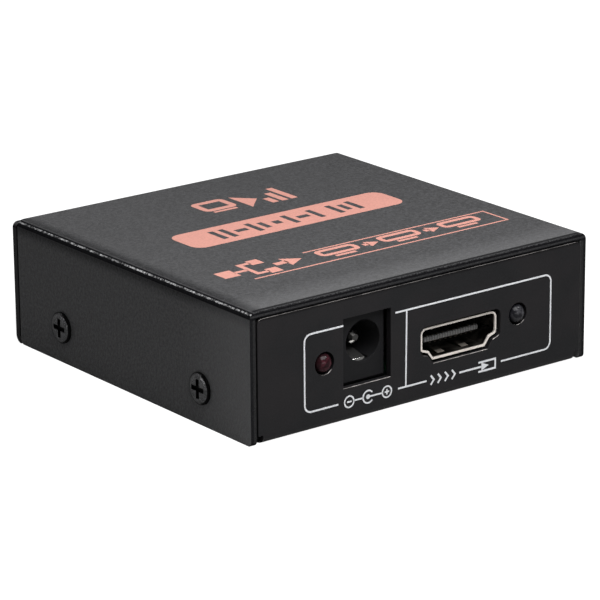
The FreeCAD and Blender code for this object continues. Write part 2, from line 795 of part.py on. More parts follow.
# Video sockets: drawn shell with spring fingers, block with a tongue, 19 contacts
def make_socket_shell(node, side, row, way):
    """The shell's frame has its mouth at y = 0, facing -Y, and the board's top at z = 0."""
    body = new_body(f"{node}_shell")
    rings = [socket_outline(), socket_outline("-socket_sheet")]
    section = sketch(body, "section", "XZ_Plane", rings)
    pad(body, section, "socket_depth", reverse=True)
    round_outline(body, "0")
    round_outline(body, "socket_sheet")

    windows = []
    for sign in (-1, 1):
        centre = f"{sign} * spring_spread / 2"
        windows.append(rectangle(
            f"{centre} - spring_window / 2", f"{centre} + spring_window / 2",
            "spring_start", "spring_start + spring_length + spring_end_gap",
        ))
    slots = sketch(body, "spring_windows", "XY_Plane", windows)
    pocket(body, slots, f"socket_lift + socket_height + {BEYOND}", reverse=True)
    side_window = rectangle(
        "spring_start", "spring_start + spring_length",
        f"{SIDE_SPRING_MIDDLE} - side_window / 2", f"{SIDE_SPRING_MIDDLE} + side_window / 2",
    )
    side_slot = sketch(body, "side_windows", "YZ_Plane", [side_window])
    pocket(body, side_slot, f"socket_width + {BEYOND}", side="Symmetric")
    add_shell_springs(body)
    add_shell_legs(body)
    place(body, side, row, BOARD_TOP, 0 if way > 0 else HALF_TURN)
    return keep(body, f"{node}_shell")


def round_outline(body, depth, lost="0"):
    """Round the outer corners of the socket's outline at a depth under its outside."""
    corners = socket_outline(f"-({depth}) - ({lost})")[:2]
    for (across, along), radius in zip(corners, ("socket_corner", "socket_low_corner")):
        fillet(body, f"{radius} - ({depth})", lambda edge: is_outline_corner(edge, across, along))


def is_outline_corner(edge, across, along):
    spot = middle(edge)
    return runs_along(edge, "y") and near(abs(spot.x), across) and near(spot.z, along)


def finger(wall, inward):
    """The outline of a finger that starts flush in its wall and bows inward."""
    end = "spring_start + spring_length"
    inner = f"{wall} + {inward} * socket_sheet"
    bow = f"{wall} + {inward} * (socket_sheet + spring_reach)"
    back = f"{wall} + {inward} * spring_reach"
    return [
        ("spring_start - spring_root", wall),
        (f"{end} - spring_heel", back),
        (end, f"{wall} + {inward} * spring_reach / 3"),
        (end, f"{inner} + {inward} * spring_reach / 3"),
        (f"{end} - spring_heel", bow),
        ("spring_start - spring_root", inner),
    ]


def add_shell_springs(body):
    """Two fingers in the top, two in the base and one in each side."""
    walls = {"top": ("socket_lift + socket_height", -1), "base": ("socket_lift", 1)}
    for wall, (height, inward) in walls.items():
        for sign in (-1, 1):
            middle_plane = f"{sign} * spring_spread / 2"
            name = f"{wall}_finger_{'left' if sign < 0 else 'right'}"
            drawing = sketch(body, name, "YZ_Plane", [finger(height, inward)], offset=middle_plane)
            pad(body, drawing, "spring_width", side="Symmetric")
    for sign in (-1, 1):
        points = [(across, along) for along, across in finger(f"{sign} * socket_width / 2", -sign)]
        name = f"side_finger_{'left' if sign < 0 else 'right'}"
        drawing = sketch(body, name, "XY_Plane", [points], offset=SIDE_SPRING_MIDDLE)
        pad(body, drawing, "side_spring_width", side="Symmetric")


def add_shell_legs(body):
    """Four flat legs that go through the board and are soldered under it."""
    feet = []
    for step in (0, 1):
        for sign in ("", "-"):
            front = f"leg_start + {step} * leg_pitch"
            outside, inside = f"{sign}socket_width / 2", f"{sign}(socket_width / 2 - socket_sheet)"
            feet.append(rectangle(inside, outside, front, f"{front} + leg_width"))
    drawing = sketch(body, "legs", "XY_Plane", feet, offset="-leg_reach")
    pad(body, drawing, "leg_reach + socket_lift + socket_height - socket_side + leg_overlap")


def make_socket_insulator(node, side, row, way):
    """The moulded block that closes the shell's rear, with the tongue that carries the contacts."""
    body = new_body(f"{node}_insulator")
    block = sketch(
        body, "block", "XZ_Plane", [socket_outline("-socket_sheet - contact_slack")], offset="-socket_depth"
    )
    pad(body, block, "block_depth")
    low, high = f"{TONGUE_MIDDLE} - tongue_height / 2", f"{TONGUE_MIDDLE} + tongue_height / 2"
    tongue = sketch(
        body, "tongue", "XZ_Plane", [rectangle("-tongue_width / 2", "tongue_width / 2", low, high)],
        offset="-tongue_recess",
    )
    pad(body, tongue, "socket_depth - tongue_recess - block_depth / 2", reverse=True)
    round_outline(body, "socket_sheet", "contact_slack")
    chamfer(body, "tongue_bevel", is_tongue_tip)
    tunnels = []
    for across, upward in contact_spots():
        wall = high if upward > 0 else low
        far = f"{wall} + {upward} * (contact_sheet + contact_slack)"
        half = "(contact_width / 2 + contact_slack)"
        tunnels.append(rectangle(f"{across} - {half}", f"{across} + {half}", wall, far))
    passages = sketch(body, "passages", "XZ_Plane", tunnels, offset=f"-socket_depth + block_depth + {BEYOND}")
    pocket(body, passages, f"block_depth + 2 * {BEYOND}")
    place(body, side, row, BOARD_TOP, 0 if way > 0 else HALF_TURN)
    return keep(body, f"{node}_insulator")


def is_tongue_tip(edge):
    return runs_along(edge, "x") and near(middle(edge).y, "tongue_recess")


def contact_spots():
    """Where the contacts lie across the tongue: an upper row, and a lower row half a pitch over."""
    spots = []
    for count, upward in (("upper_contacts", 1), ("lower_contacts", -1)):
        total = int(value(count))
        spots += [(f"({index - (total - 1) / 2}) * contact_pitch", upward) for index in range(total)]
    return spots


def make_socket_contacts(node, side, row, way):
    """Flat contacts that lie on the tongue, pass through the block and step down to the board."""
    tip = value("tongue_recess + contact_inset")
    heel = value("socket_depth + contact_step")
    thick = value("contact_sheet")
    toe = heel + value("contact_tail")
    width = value("contact_width")
    contacts = []
    for across, upward in contact_spots():
        wall = value(TONGUE_MIDDLE) + upward * value("tongue_height") / 2
        low, high = sorted((wall, wall + upward * thick))
        profile = [
            (0, tip, low), (0, heel - thick, low), (0, heel - thick, 0), (0, toe, 0),
            (0, toe, thick), (0, heel, thick), (0, heel, high), (0, tip, high),
        ]
        contacts.append(strip(profile, X_AXIS, value(across) - width / 2, width))
    feature = shaped(f"{node}_contacts", Part.makeCompound(contacts))
    place(feature, side, row, BOARD_TOP, 0 if way > 0 else HALF_TURN)
    return keep(feature, f"{node}_contacts")


# Power jack: its frame has the front face at y = 0 and the board's top at z = 0
def make_jack_body():
    body = new_body("power_jack_body")
    barrel_half = "(jack_width / 2 - jack_barrel_side)"
    barrel = rectangle(f"-{barrel_half}", barrel_half, "0", "jack_height - jack_barrel_drop")
    pad(body, sketch(body, "barrel", "XZ_Plane", [barrel]), "jack_depth", reverse=True)
    fillet(body, "jack_barrel_round", is_jack_shoulder)
    collar = rectangle("-jack_width / 2", "jack_width / 2", "0", "jack_height")
    pad(body, sketch(body, "collar", "XZ_Plane", [collar]), "jack_collar", reverse=True)
    chamfer(body, "jack_chamfer", is_jack_face_edge)
    bore = sketch(body, "bore", "XZ_Plane", circles=[("0", "jack_axis_rise", "jack_bore")], offset=BEYOND)
    pocket(body, bore, f"jack_bore_depth + {BEYOND}")
    pin_seat = [("0", "jack_axis_rise", "pin_root + 2 * thread_slack")]
    seat = sketch(body, "pin_seat", "XZ_Plane", circles=pin_seat, offset=BEYOND)
    pocket(body, seat, f"jack_depth + 2 * {BEYOND}")
    channel_end = "leaf_pivot + leaf_bead / 2 + leaf_gap + lug_sheet + lug_slack"
    half_channel = "leaf_channel / 2"
    channel = sketch(
        body, "leaf_channel", "XY_Plane",
        [rectangle(f"-{half_channel}", half_channel, "leaf_tip - leaf_end_gap", channel_end)], offset=f"-{BEYOND}",
    )
    pocket(body, channel, f"leaf_channel_rise + {BEYOND}", reverse=True)
    window = rectangle("shunt_start - lug_slack", "shunt_start + shunt_length + lug_slack",
                       f"-{BEYOND}", SHUNT_TOP)
    shunt_way = sketch(body, "shunt_way", "YZ_Plane", [window])
    pocket(body, shunt_way, f"jack_width / 2 + {BEYOND}")
    place(body, JACK_SIDE, JACK_FRONT, BOARD_TOP)
    return keep(body, "power_jack_body")


def is_jack_face_edge(edge):
    """Whether an edge is a side or the foot of the jack's front face."""
    at_front = near(edge.BoundBox.YMin, "0") and near(edge.BoundBox.YMax, "0")
    return at_front and not near(edge.BoundBox.ZMin, "jack_height")


def is_jack_shoulder(edge):
    """Whether an edge is one of the long upper edges of the jack's barrel."""
    spot = middle(edge)
    at_side = near(abs(spot.x), "jack_width / 2 - jack_barrel_side")
    return runs_along(edge, "y") and at_side and near(spot.z, "jack_height - jack_barrel_drop")


def make_jack_pin():
    """The centre pin with a rounded tip, and the lug that its heel is riveted to."""
    shaft_start = "(pin_recess + pin_tip)"
    shaft = rod("pin_shaft", "pin_size", f"jack_bore_depth - {shaft_start}", row="jack_bore_depth",
                rise="jack_axis_rise", angle=90)
    root = rod("pin_root", "pin_root", "jack_depth - jack_bore_depth", row="jack_depth", rise="jack_axis_rise",
               angle=90)
    tip = doc.addObject("Part::Cone", "pin_point")
    tip.setExpression("Radius1", cells("pin_size / 2"))
    tip.setExpression("Radius2", cells("pin_point / 2"))
    tip.setExpression("Height", cells("pin_tip"))
    place(tip, row=shaft_start, rise="jack_axis_rise", angle=90, axis=X_AXIS)
    lug = box(
        "pin_lug", "-lug_width / 2", "lug_width / 2", "jack_depth", "jack_depth + lug_sheet",
        "-lug_reach", "jack_axis_rise + pin_size / 2 + pin_lug_lip",
    )
    pin = join("power_jack_pin", [shaft, root, tip, lug])
    place(pin, JACK_SIDE, JACK_FRONT, BOARD_TOP)
    return keep(pin, "power_jack_pin")


def make_jack_leaf():
    """The sprung strip that the plug presses down, with the bead that it rocks on and its switch ear."""
    body = new_body("power_jack_leaf")
    upper = [
        ("leaf_tip", "leaf_tip_rise"),
        ("leaf_curl", "leaf_curl_rise"),
        ("leaf_crown - leaf_crown_length / 2", "leaf_crown_rise"),
        ("leaf_crown + leaf_crown_length / 2", "leaf_crown_rise"),
        ("leaf_knee", "leaf_knee_rise"),
        ("leaf_pivot", "leaf_pivot_rise + leaf_sheet / 2"),
    ]
    lower = [
        (f"{along} + {inward} * leaf_sheet", f"{rise} + {down} * leaf_sheet")
        for (along, rise), (inward, down) in zip(upper, LEAF_INWARD)
    ]
    pad(body, sketch(body, "strip", "YZ_Plane", [upper + lower[::-1]]), "leaf_width", side="Symmetric")
    bead = sketch(body, "bead", "YZ_Plane", circles=[("leaf_pivot", "leaf_pivot_rise", "leaf_bead")])
    pad(body, bead, "leaf_width", side="Symmetric")
    place(body, JACK_SIDE, JACK_FRONT, BOARD_TOP)
    return keep(body, "power_jack_leaf")


def make_leaf_terminal():
    """The fixed lug behind the leaf's bead, with the lip that the bead bears on."""
    body = new_body("power_jack_leaf_terminal")
    front = "leaf_pivot + leaf_bead / 2 + leaf_gap"
    lip_low = "leaf_pivot_rise - leaf_bead / 2 - leaf_gap - lug_sheet"
    profile = [
        (f"{front} + lug_sheet", "-lug_reach"),
        (f"{front} + lug_sheet", "leaf_pivot_rise + leaf_bead / 2"),
        (front, "leaf_pivot_rise + leaf_bead / 2"),
        (front, f"{lip_low} + lug_sheet"),
        (f"{front} - leaf_bead - leaf_gap", f"{lip_low} + lug_sheet"),
        (f"{front} - leaf_bead - leaf_gap", lip_low),
        (front, lip_low),
        (front, "-lug_reach"),
    ]
    pad(body, sketch(body, "profile", "YZ_Plane", [profile]), "leaf_width", side="Symmetric")
    place(body, JACK_SIDE, JACK_FRONT, BOARD_TOP)
    return keep(body, "power_jack_leaf_terminal")


def make_jack_shunt():
    """The fixed switch contact above the leaf's root, with its lug beside the body."""
    body = new_body("power_jack_shunt")
    outside = "-(jack_width / 2 + lug_sheet)"
    profile = [
        ("shunt_reach", SHUNT_LOW),
        ("shunt_reach", f"{SHUNT_LOW} + lug_sheet"),
        (outside, f"{SHUNT_LOW} + lug_sheet"),
        (outside, "-lug_reach"),
        ("-jack_width / 2", "-lug_reach"),
        ("-jack_width / 2", SHUNT_LOW),
    ]
    drawing = sketch(body, "profile", "XZ_Plane", [profile], offset="-shunt_start")
    pad(body, drawing, "shunt_length", reverse=True)
    place(body, JACK_SIDE, JACK_FRONT, BOARD_TOP)
    return keep(body, "power_jack_shunt")


# Lamps: the frame has the dome's tip at y = 0, facing -Y, on the lamp's axis
def make_lamp(node, side, row, way):
    radius = "lamp_size / 2"
    dome = doc.addObject("Part::Sphere", f"{node}_dome")
    dome.setExpression("Radius", cells(radius))
    place(dome, row=radius)
    barrel = rod(f"{node}_barrel", "lamp_size", f"lamp_length - {radius}", row="lamp_length", angle=90)
    flange = rod(f"{node}_flange", "lamp_flange", "lamp_flange_depth", row="lamp_length", angle=90)
    blank = join(f"{node}_blank", [dome, barrel, flange])
    flat = box(
        f"{node}_flat", "lamp_size / 2 + lamp_flat", "lamp_flange", "0", f"lamp_length + {BEYOND}",
        "-lamp_flange", "lamp_flange",
    )
    lamp = take(node, blank, flat)
    place(lamp, side, row, LAMP_AXIS, 0 if way > 0 else HALF_TURN)
    return keep(lamp, node)


def make_lamp_legs(node, side, row, way):
    """Two square wires that leave the lamp's base and turn down through the board."""
    start, turn = "lamp_length", "lamp_length + lamp_leg_run"
    foot = "-(lamp_rise + lamp_leg_reach)"
    profile = [
        (start, "lamp_leg / 2"), (start, "-lamp_leg / 2"), (f"{turn} - lamp_leg", "-lamp_leg / 2"),
        (f"{turn} - lamp_leg", foot), (turn, foot), (turn, "lamp_leg / 2"),
    ]
    legs = []
    for number, step in enumerate((-0.5, 0.5), start=1):
        body = new_body(f"{node}_leg_{number}")
        drawing = sketch(body, "profile", "YZ_Plane", [profile], offset=f"{step} * lamp_leg_pitch")
        pad(body, drawing, "lamp_leg", side="Symmetric")
        legs.append(body)
    pair = group(f"{node}_legs", legs)
    place(pair, side, row, LAMP_AXIS, 0 if way > 0 else HALF_TURN)
    return keep(pair, f"{node}_legs")


# Parts soldered on the board: their frames have the board's top at z = 0
def gull_wing(reach):
    """The outline of a lead from a package's side down to the board, in a plane across Y."""
    thick, foot, run = value("lead_sheet"), value("lead_foot"), value("lead_run")
    top = value("chip_lift + chip_height / 2") + thick / 2
    bend = reach + run
    toe = bend + foot
    return [
        (reach, 0, top), (bend, 0, thick), (toe, 0, thick), (toe, 0, 0), (bend - thick, 0, 0),
        (reach, 0, top - thick),
    ]


def lead_rows(reach, count, pitch, angles):
    """Leads along each of the sides that the angles name."""
    leads = []
    width = value("lead_width")
    for angle in angles:
        for index in range(count):
            along = (index - (count - 1) / 2) * pitch
            lead = strip(gull_wing(reach), Y_AXIS, along - width / 2, width)
            lead.rotate(FreeCAD.Vector(0, 0, 0), Z_AXIS, angle)
            leads.append(lead)
    return Part.makeCompound(leads)


def make_packages():
    """The splitter chip and its small memory, each a moulded package with a node of leads."""
    packages = {
        "splitter_chip": ("chip_width", "chip_width", f"chip_share * {HALF_BOARD}", "chip_row", "chip_leads", "chip_lead_pitch",
                          (0, 90, 180, 270)),
        "memory_chip": ("memory_width", "memory_length", f"memory_share * {HALF_BOARD}", "memory_row", "memory_leads",
                        "memory_lead_pitch", (0, 180)),
    }
    for node, (width, length, side, row, count, pitch, angles) in packages.items():
        body = new_body(node)
        outline = rectangle(f"-{width} / 2", f"{width} / 2", f"-{length} / 2", f"{length} / 2")
        pad(body, sketch(body, "outline", "XY_Plane", [outline], offset="chip_lift"), "chip_height")
        chamfer(body, "chip_bevel", lambda edge: near(edge.BoundBox.ZMin, "chip_lift + chip_height"))
        place(body, side, row, BOARD_TOP)
        keep(body, node)
        leads = lead_rows(value(width) / 2, int(value(count)), value(pitch), angles)
        feature = shaped(f"{node}_leads", leads)
        place(feature, side, row, BOARD_TOP)
        keep(feature, f"{node}_leads")


def make_crystal():
    """A low metal can with round ends on a rim."""
    pieces = []
    for name, size, low, high in (
        ("crystal_rim", "crystal_width", "0", "crystal_rim"),
        ("crystal_can", "crystal_width - 2 * crystal_rim", "crystal_rim", "crystal_height"),
    ):
        half = "(crystal_length - crystal_width) / 2"
        pieces.append(box(f"{name}_middle", f"-{half}", half, f"-({size}) / 2", f"({size}) / 2", low, high))
        for sign in (-1, 1):
            end = "left" if sign < 0 else "right"
            pieces.append(rod(f"{name}_{end}", size, f"({high}) - ({low})", side=f"{sign} * {half}", rise=low))
    crystal = join("crystal", pieces)
    place(crystal, f"crystal_share * {HALF_BOARD}", "crystal_row", BOARD_TOP)
    return keep(crystal, "crystal")


def make_inductor():
    """A drum core between two square flanges."""
    half = "inductor_width / 2"
    lower = box("inductor_base", f"-{half}", half, f"-{half}", half, "0", "inductor_flange")
    upper = box("inductor_cap", f"-{half}", half, f"-{half}", half, "inductor_height - inductor_flange",
                "inductor_height")
    drum = rod("inductor_core", "inductor_drum", "inductor_height")
    inductor = join("power_inductor", [lower, upper, drum])
    place(inductor, f"inductor_share * {HALF_BOARD}", "inductor_row", BOARD_TOP)
    return keep(inductor, "power_inductor")


def make_regulator():
    """A moulded regulator with a wide tab behind and three leads in front."""
    half_width, half_length = "regulator_width / 2", "regulator_length / 2"
    moulding = box("regulator_moulding", f"-{half_width}", half_width, f"-{half_length}", half_length, "chip_lift",
                   "regulator_height")
    half_tab, half_lead = "regulator_tab_width / 2", "regulator_lead_width / 2"
    tab = box("regulator_tab", f"-{half_tab}", half_tab, half_length, f"{half_length} + regulator_lead_run", "0",
              "lead_sheet + chip_lift")
    leads = []
    for step in (-1, 0, 1):
        centre = f"{step} * regulator_lead_pitch"
        leads.append(box(f"regulator_lead_{step + 2}", f"{centre} - {half_lead}", f"{centre} + {half_lead}",
                         f"-{half_length} - regulator_lead_run", f"-{half_length}", "0", "lead_sheet + chip_lift"))
    regulator = join("voltage_regulator", [moulding, tab] + leads)
    place(regulator, f"regulator_share * {HALF_BOARD}", "regulator_row", BOARD_TOP)
    return keep(regulator, "voltage_regulator")


def make_reservoir_capacitors():
    """Two upright cans on square bases."""
    cans = []
    for number in range(2):
        name = f"reservoir_{number + 1}"
        half = "can_base / 2"
        base = box(f"{name}_base", f"-{half}", half, f"-{half}", half, "0", "can_base_height")
        can = rod(f"{name}_can", "can_size", "can_height - can_base_height", rise="can_base_height")
        cans.append(place(join(name, [base, can]), f"can_share * {HALF_BOARD} + {number} * can_pitch", "can_row", BOARD_TOP))
    return keep(group("reservoir_capacitors", cans), "reservoir_capacitors")


def make_surge_arrays():
    """Three small arrays behind each video socket."""
    arrays = []
    for node, (side, row, way) in SOCKETS.items():
        for step in (-1, 0, 1):
            centre = f"{side} + {step} * array_pitch"
            line = f"{row} + {way} * array_setback"
            arrays.append(box(
                f"{node}_array_{step + 2}", f"{centre} - array_length / 2", f"{centre} + array_length / 2",
                f"{line} - array_width / 2", f"{line} + array_width / 2", BOARD_TOP, f"{BOARD_TOP} + array_height",
            ))
    return keep(group("surge_arrays", arrays), "surge_arrays")


def make_chip_parts():
    """Rows of chip resistors and chip capacitors around the splitter chip."""
    rows = {
        "chip_resistors": ("chip_row + chip_part_setback", "resistor_count"),
        "chip_capacitors": ("chip_row - chip_part_setback", "capacitor_count"),
    }
    for node, (row, total) in rows.items():
        count = int(value(total))
        pieces = []
        for index in range(count):
            centre = f"chip_share * {HALF_BOARD} + ({index - (count - 1) / 2}) * chip_part_pitch"
            pieces.append(box(
                f"{node}_{index + 1}", f"{centre} - chip_part_width / 2", f"{centre} + chip_part_width / 2",
                f"{row} - chip_part_length / 2", f"{row} + chip_part_length / 2",
                BOARD_TOP, f"{BOARD_TOP} + chip_part_height",
            ))
        keep(group(node, pieces), node)


def build():
    make_top_cover()
    make_base_tray()
    make_cover_screws()
    make_board_standoffs()
    make_circuit_board()
    make_board_screws()
    for node, spot in SOCKETS.items():
        make_socket_shell(node, *spot)
        make_socket_insulator(node, *spot)
        make_socket_contacts(node, *spot)
    make_jack_body()
    make_jack_pin()
    make_jack_leaf()
    make_leaf_terminal()
    make_jack_shunt()
    for node, spot in LAMPS.items():
        make_lamp(node, *spot)
        make_lamp_legs(node, *spot)
    make_packages()
    make_crystal()
    make_inductor()
    make_regulator()
    make_reservoir_capacitors()
    make_surge_arrays()
    make_chip_parts()
    doc.recompute()


def check():
    """Stop if a feature failed, a pocket cut nothing or a sub-part has no sound shape."""
    for feature in doc.Objects:
        if "Invalid" in feature.State or "Error" in feature.State:
            raise RuntimeError(f"{feature.Label} failed: {feature.State}")
        if feature.TypeId == "PartDesign::Pocket":
            before = feature.BaseFeature.Shape.Volume
            if feature.Shape.Volume > before - 1e-3:
                raise RuntimeError(f"{feature.Label} cut nothing")
    for feature in nodes:
        if feature.Shape.isNull() or not feature.Shape.isValid() or feature.Shape.Volume <= 0:
            raise RuntimeError(f"{feature.Label} has no sound shape")


def write_parts():
    os.makedirs("parts", exist_ok=True)
    for feature in nodes:
        feature.Shape.exportStep(f"parts/{feature.Label}.step")
        solids = len(feature.Shape.Solids)
        print(f"{feature.Label}: {solids} solid(s), {feature.Shape.Volume:.2f} mm3")


build()
check()
write_parts()
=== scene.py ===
"""Looks of the small two-output video splitter box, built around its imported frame."""

import json
import math

import bmesh
import bpy
from mathutils import Matrix, Vector


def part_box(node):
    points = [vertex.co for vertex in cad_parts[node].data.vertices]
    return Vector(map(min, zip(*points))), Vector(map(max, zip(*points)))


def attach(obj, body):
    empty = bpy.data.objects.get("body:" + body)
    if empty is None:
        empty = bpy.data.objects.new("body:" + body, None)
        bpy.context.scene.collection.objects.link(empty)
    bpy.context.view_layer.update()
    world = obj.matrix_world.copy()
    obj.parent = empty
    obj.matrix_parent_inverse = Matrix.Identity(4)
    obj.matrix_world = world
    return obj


MM = 0.001
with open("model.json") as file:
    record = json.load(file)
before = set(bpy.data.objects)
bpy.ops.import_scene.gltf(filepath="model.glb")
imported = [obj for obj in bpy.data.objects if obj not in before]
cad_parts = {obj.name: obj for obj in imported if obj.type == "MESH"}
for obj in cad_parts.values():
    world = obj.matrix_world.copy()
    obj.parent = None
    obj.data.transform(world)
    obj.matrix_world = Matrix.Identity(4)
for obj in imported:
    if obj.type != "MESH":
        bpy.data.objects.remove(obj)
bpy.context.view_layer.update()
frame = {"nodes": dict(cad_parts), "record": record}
NODES = frame["nodes"]
CASE = "case"


# Shader helpers
class Shader:
    """A material under construction, with short calls to add and join its nodes."""

    def __init__(self, name):
        self.material = bpy.data.materials.new(name)
        self.material.use_nodes = True
        self.tree = self.material.node_tree
        self.tree.nodes.clear()
        self.output = self.tree.nodes.new("ShaderNodeOutputMaterial")
        self.surface = self.tree.nodes.new("ShaderNodeBsdfPrincipled")
        self.tree.links.new(self.surface.outputs[0], self.output.inputs["Surface"])
        coordinates = self.tree.nodes.new("ShaderNodeTexCoord")
        self.place, self.direction = coordinates.outputs["Object"], coordinates.outputs["Normal"]

    def add(self, kind, inputs=None, **settings):
        node = self.tree.nodes.new(kind)
        for key, setting in settings.items():
            setattr(node, key, setting)
        for key, source in (inputs or {}).items():
            self.feed(node.inputs[key], source)
        return node

    def feed(self, socket, source):
        """Give a socket a plain value, or link another socket or a node's first output to it."""
        if isinstance(source, bpy.types.NodeSocket):
            self.tree.links.new(source, socket)
        elif isinstance(source, bpy.types.Node):
            self.tree.links.new(source.outputs[0], socket)
        else:
            socket.default_value = source

    def set(self, **inputs):
        for key, source in inputs.items():
            self.feed(self.surface.inputs[key.replace("_", " ")], source)

    def shine(self, level, dulled=None, dull_level=0.0, smooth=True):
        """The specular level, and the lower one where a factor dulls the surface."""
        socket = self.surface.inputs["Specular IOR Level"]
        socket.default_value = level
        if dulled is not None:
            self.feed(socket, self.range(dulled, 0.0, 1.0, level, dull_level, smooth))

    # Values over the surface
    def axis(self, letter):
        """One coordinate of the surface point, in metres."""
        return self.add("ShaderNodeSeparateXYZ", {"Vector": self.place}).outputs[letter]

    def facing(self, letter):
        """One part of the direction that the surface faces."""
        return self.add("ShaderNodeSeparateXYZ", {"Vector": self.direction}).outputs[letter]

    def noise(self, size_mm, detail=2.0, roughness=0.5):
        """Noise whose features are about size_mm across."""
        return self.add(
            "ShaderNodeTexNoise",
            {"Vector": self.place, "Scale": 1 / (size_mm * MM), "Detail": detail, "Roughness": roughness},
        ).outputs[0]

    # Arithmetic
    def math(self, operation, first, second=0.0):
        return self.add("ShaderNodeMath", {0: first, 1: second}, operation=operation).outputs[0]

    def unsigned(self, source):
        return self.math("ABSOLUTE", source)

    def times(self, *factors):
        """The product of several factors."""
        product = factors[0]
        for factor in factors[1:]:
            product = self.math("MULTIPLY", product, factor)
        return product

    def most(self, *sources):
        """The greatest of several sources."""
        greatest = sources[0]
        for source in sources[1:]:
            greatest = self.math("MAXIMUM", greatest, source)
        return greatest

    def range(self, source, low, high, out_low, out_high, smooth=True):
        return self.add(
            "ShaderNodeMapRange",
            {"Value": source, "From Min": low, "From Max": high, "To Min": out_low, "To Max": out_high},
            interpolation_type="SMOOTHSTEP" if smooth else "LINEAR",
        ).outputs[0]

    def rise(self, source, start, end):
        """0 up to the start, and 1 from the end on."""
        return self.range(source, start, end, 0.0, 1.0)

    def fall(self, source, start, end):
        """1 up to the start, and 0 from the end on."""
        return self.range(source, start, end, 1.0, 0.0)

    def band(self, source, start, full, waning, end):
        """1 from full to waning, and 0 up to the start and from the end on."""
        return self.times(self.rise(source, start, full), self.fall(source, waning, end))

    def between(self, factor, at_none, at_full):
        """A level that follows a factor from 0 to 1."""
        return self.range(factor, 0.0, 1.0, at_none, at_full)

    # Colours and normals
    def mix(self, factor, first, second):
        """One colour, covered by a second as far as the factor says."""
        node = self.add("ShaderNodeMix", {"Factor": factor}, data_type="RGBA")
        for key, source in ((6, first), (7, second)):
            if isinstance(source, tuple):
                source += (1.0,)
            self.feed(node.inputs[key], source)
        return node.outputs[2]

    def bump(self, height, depth_mm, strength, below=None):
        inputs = {"Height": height, "Distance": depth_mm * MM, "Strength": strength}
        if below is not None:
            inputs["Normal"] = below
        return self.add("ShaderNodeBump", inputs).outputs[0]

    def rounded(self, radius_mm):
        """Normals that round off sharp edges, as a coat of paint or a stamped edge does."""
        return self.add("ShaderNodeBevel", {"Radius": radius_mm * MM}, samples=6).outputs[0]


def scaled(colour, share):
    return tuple(channel * share for channel in colour)


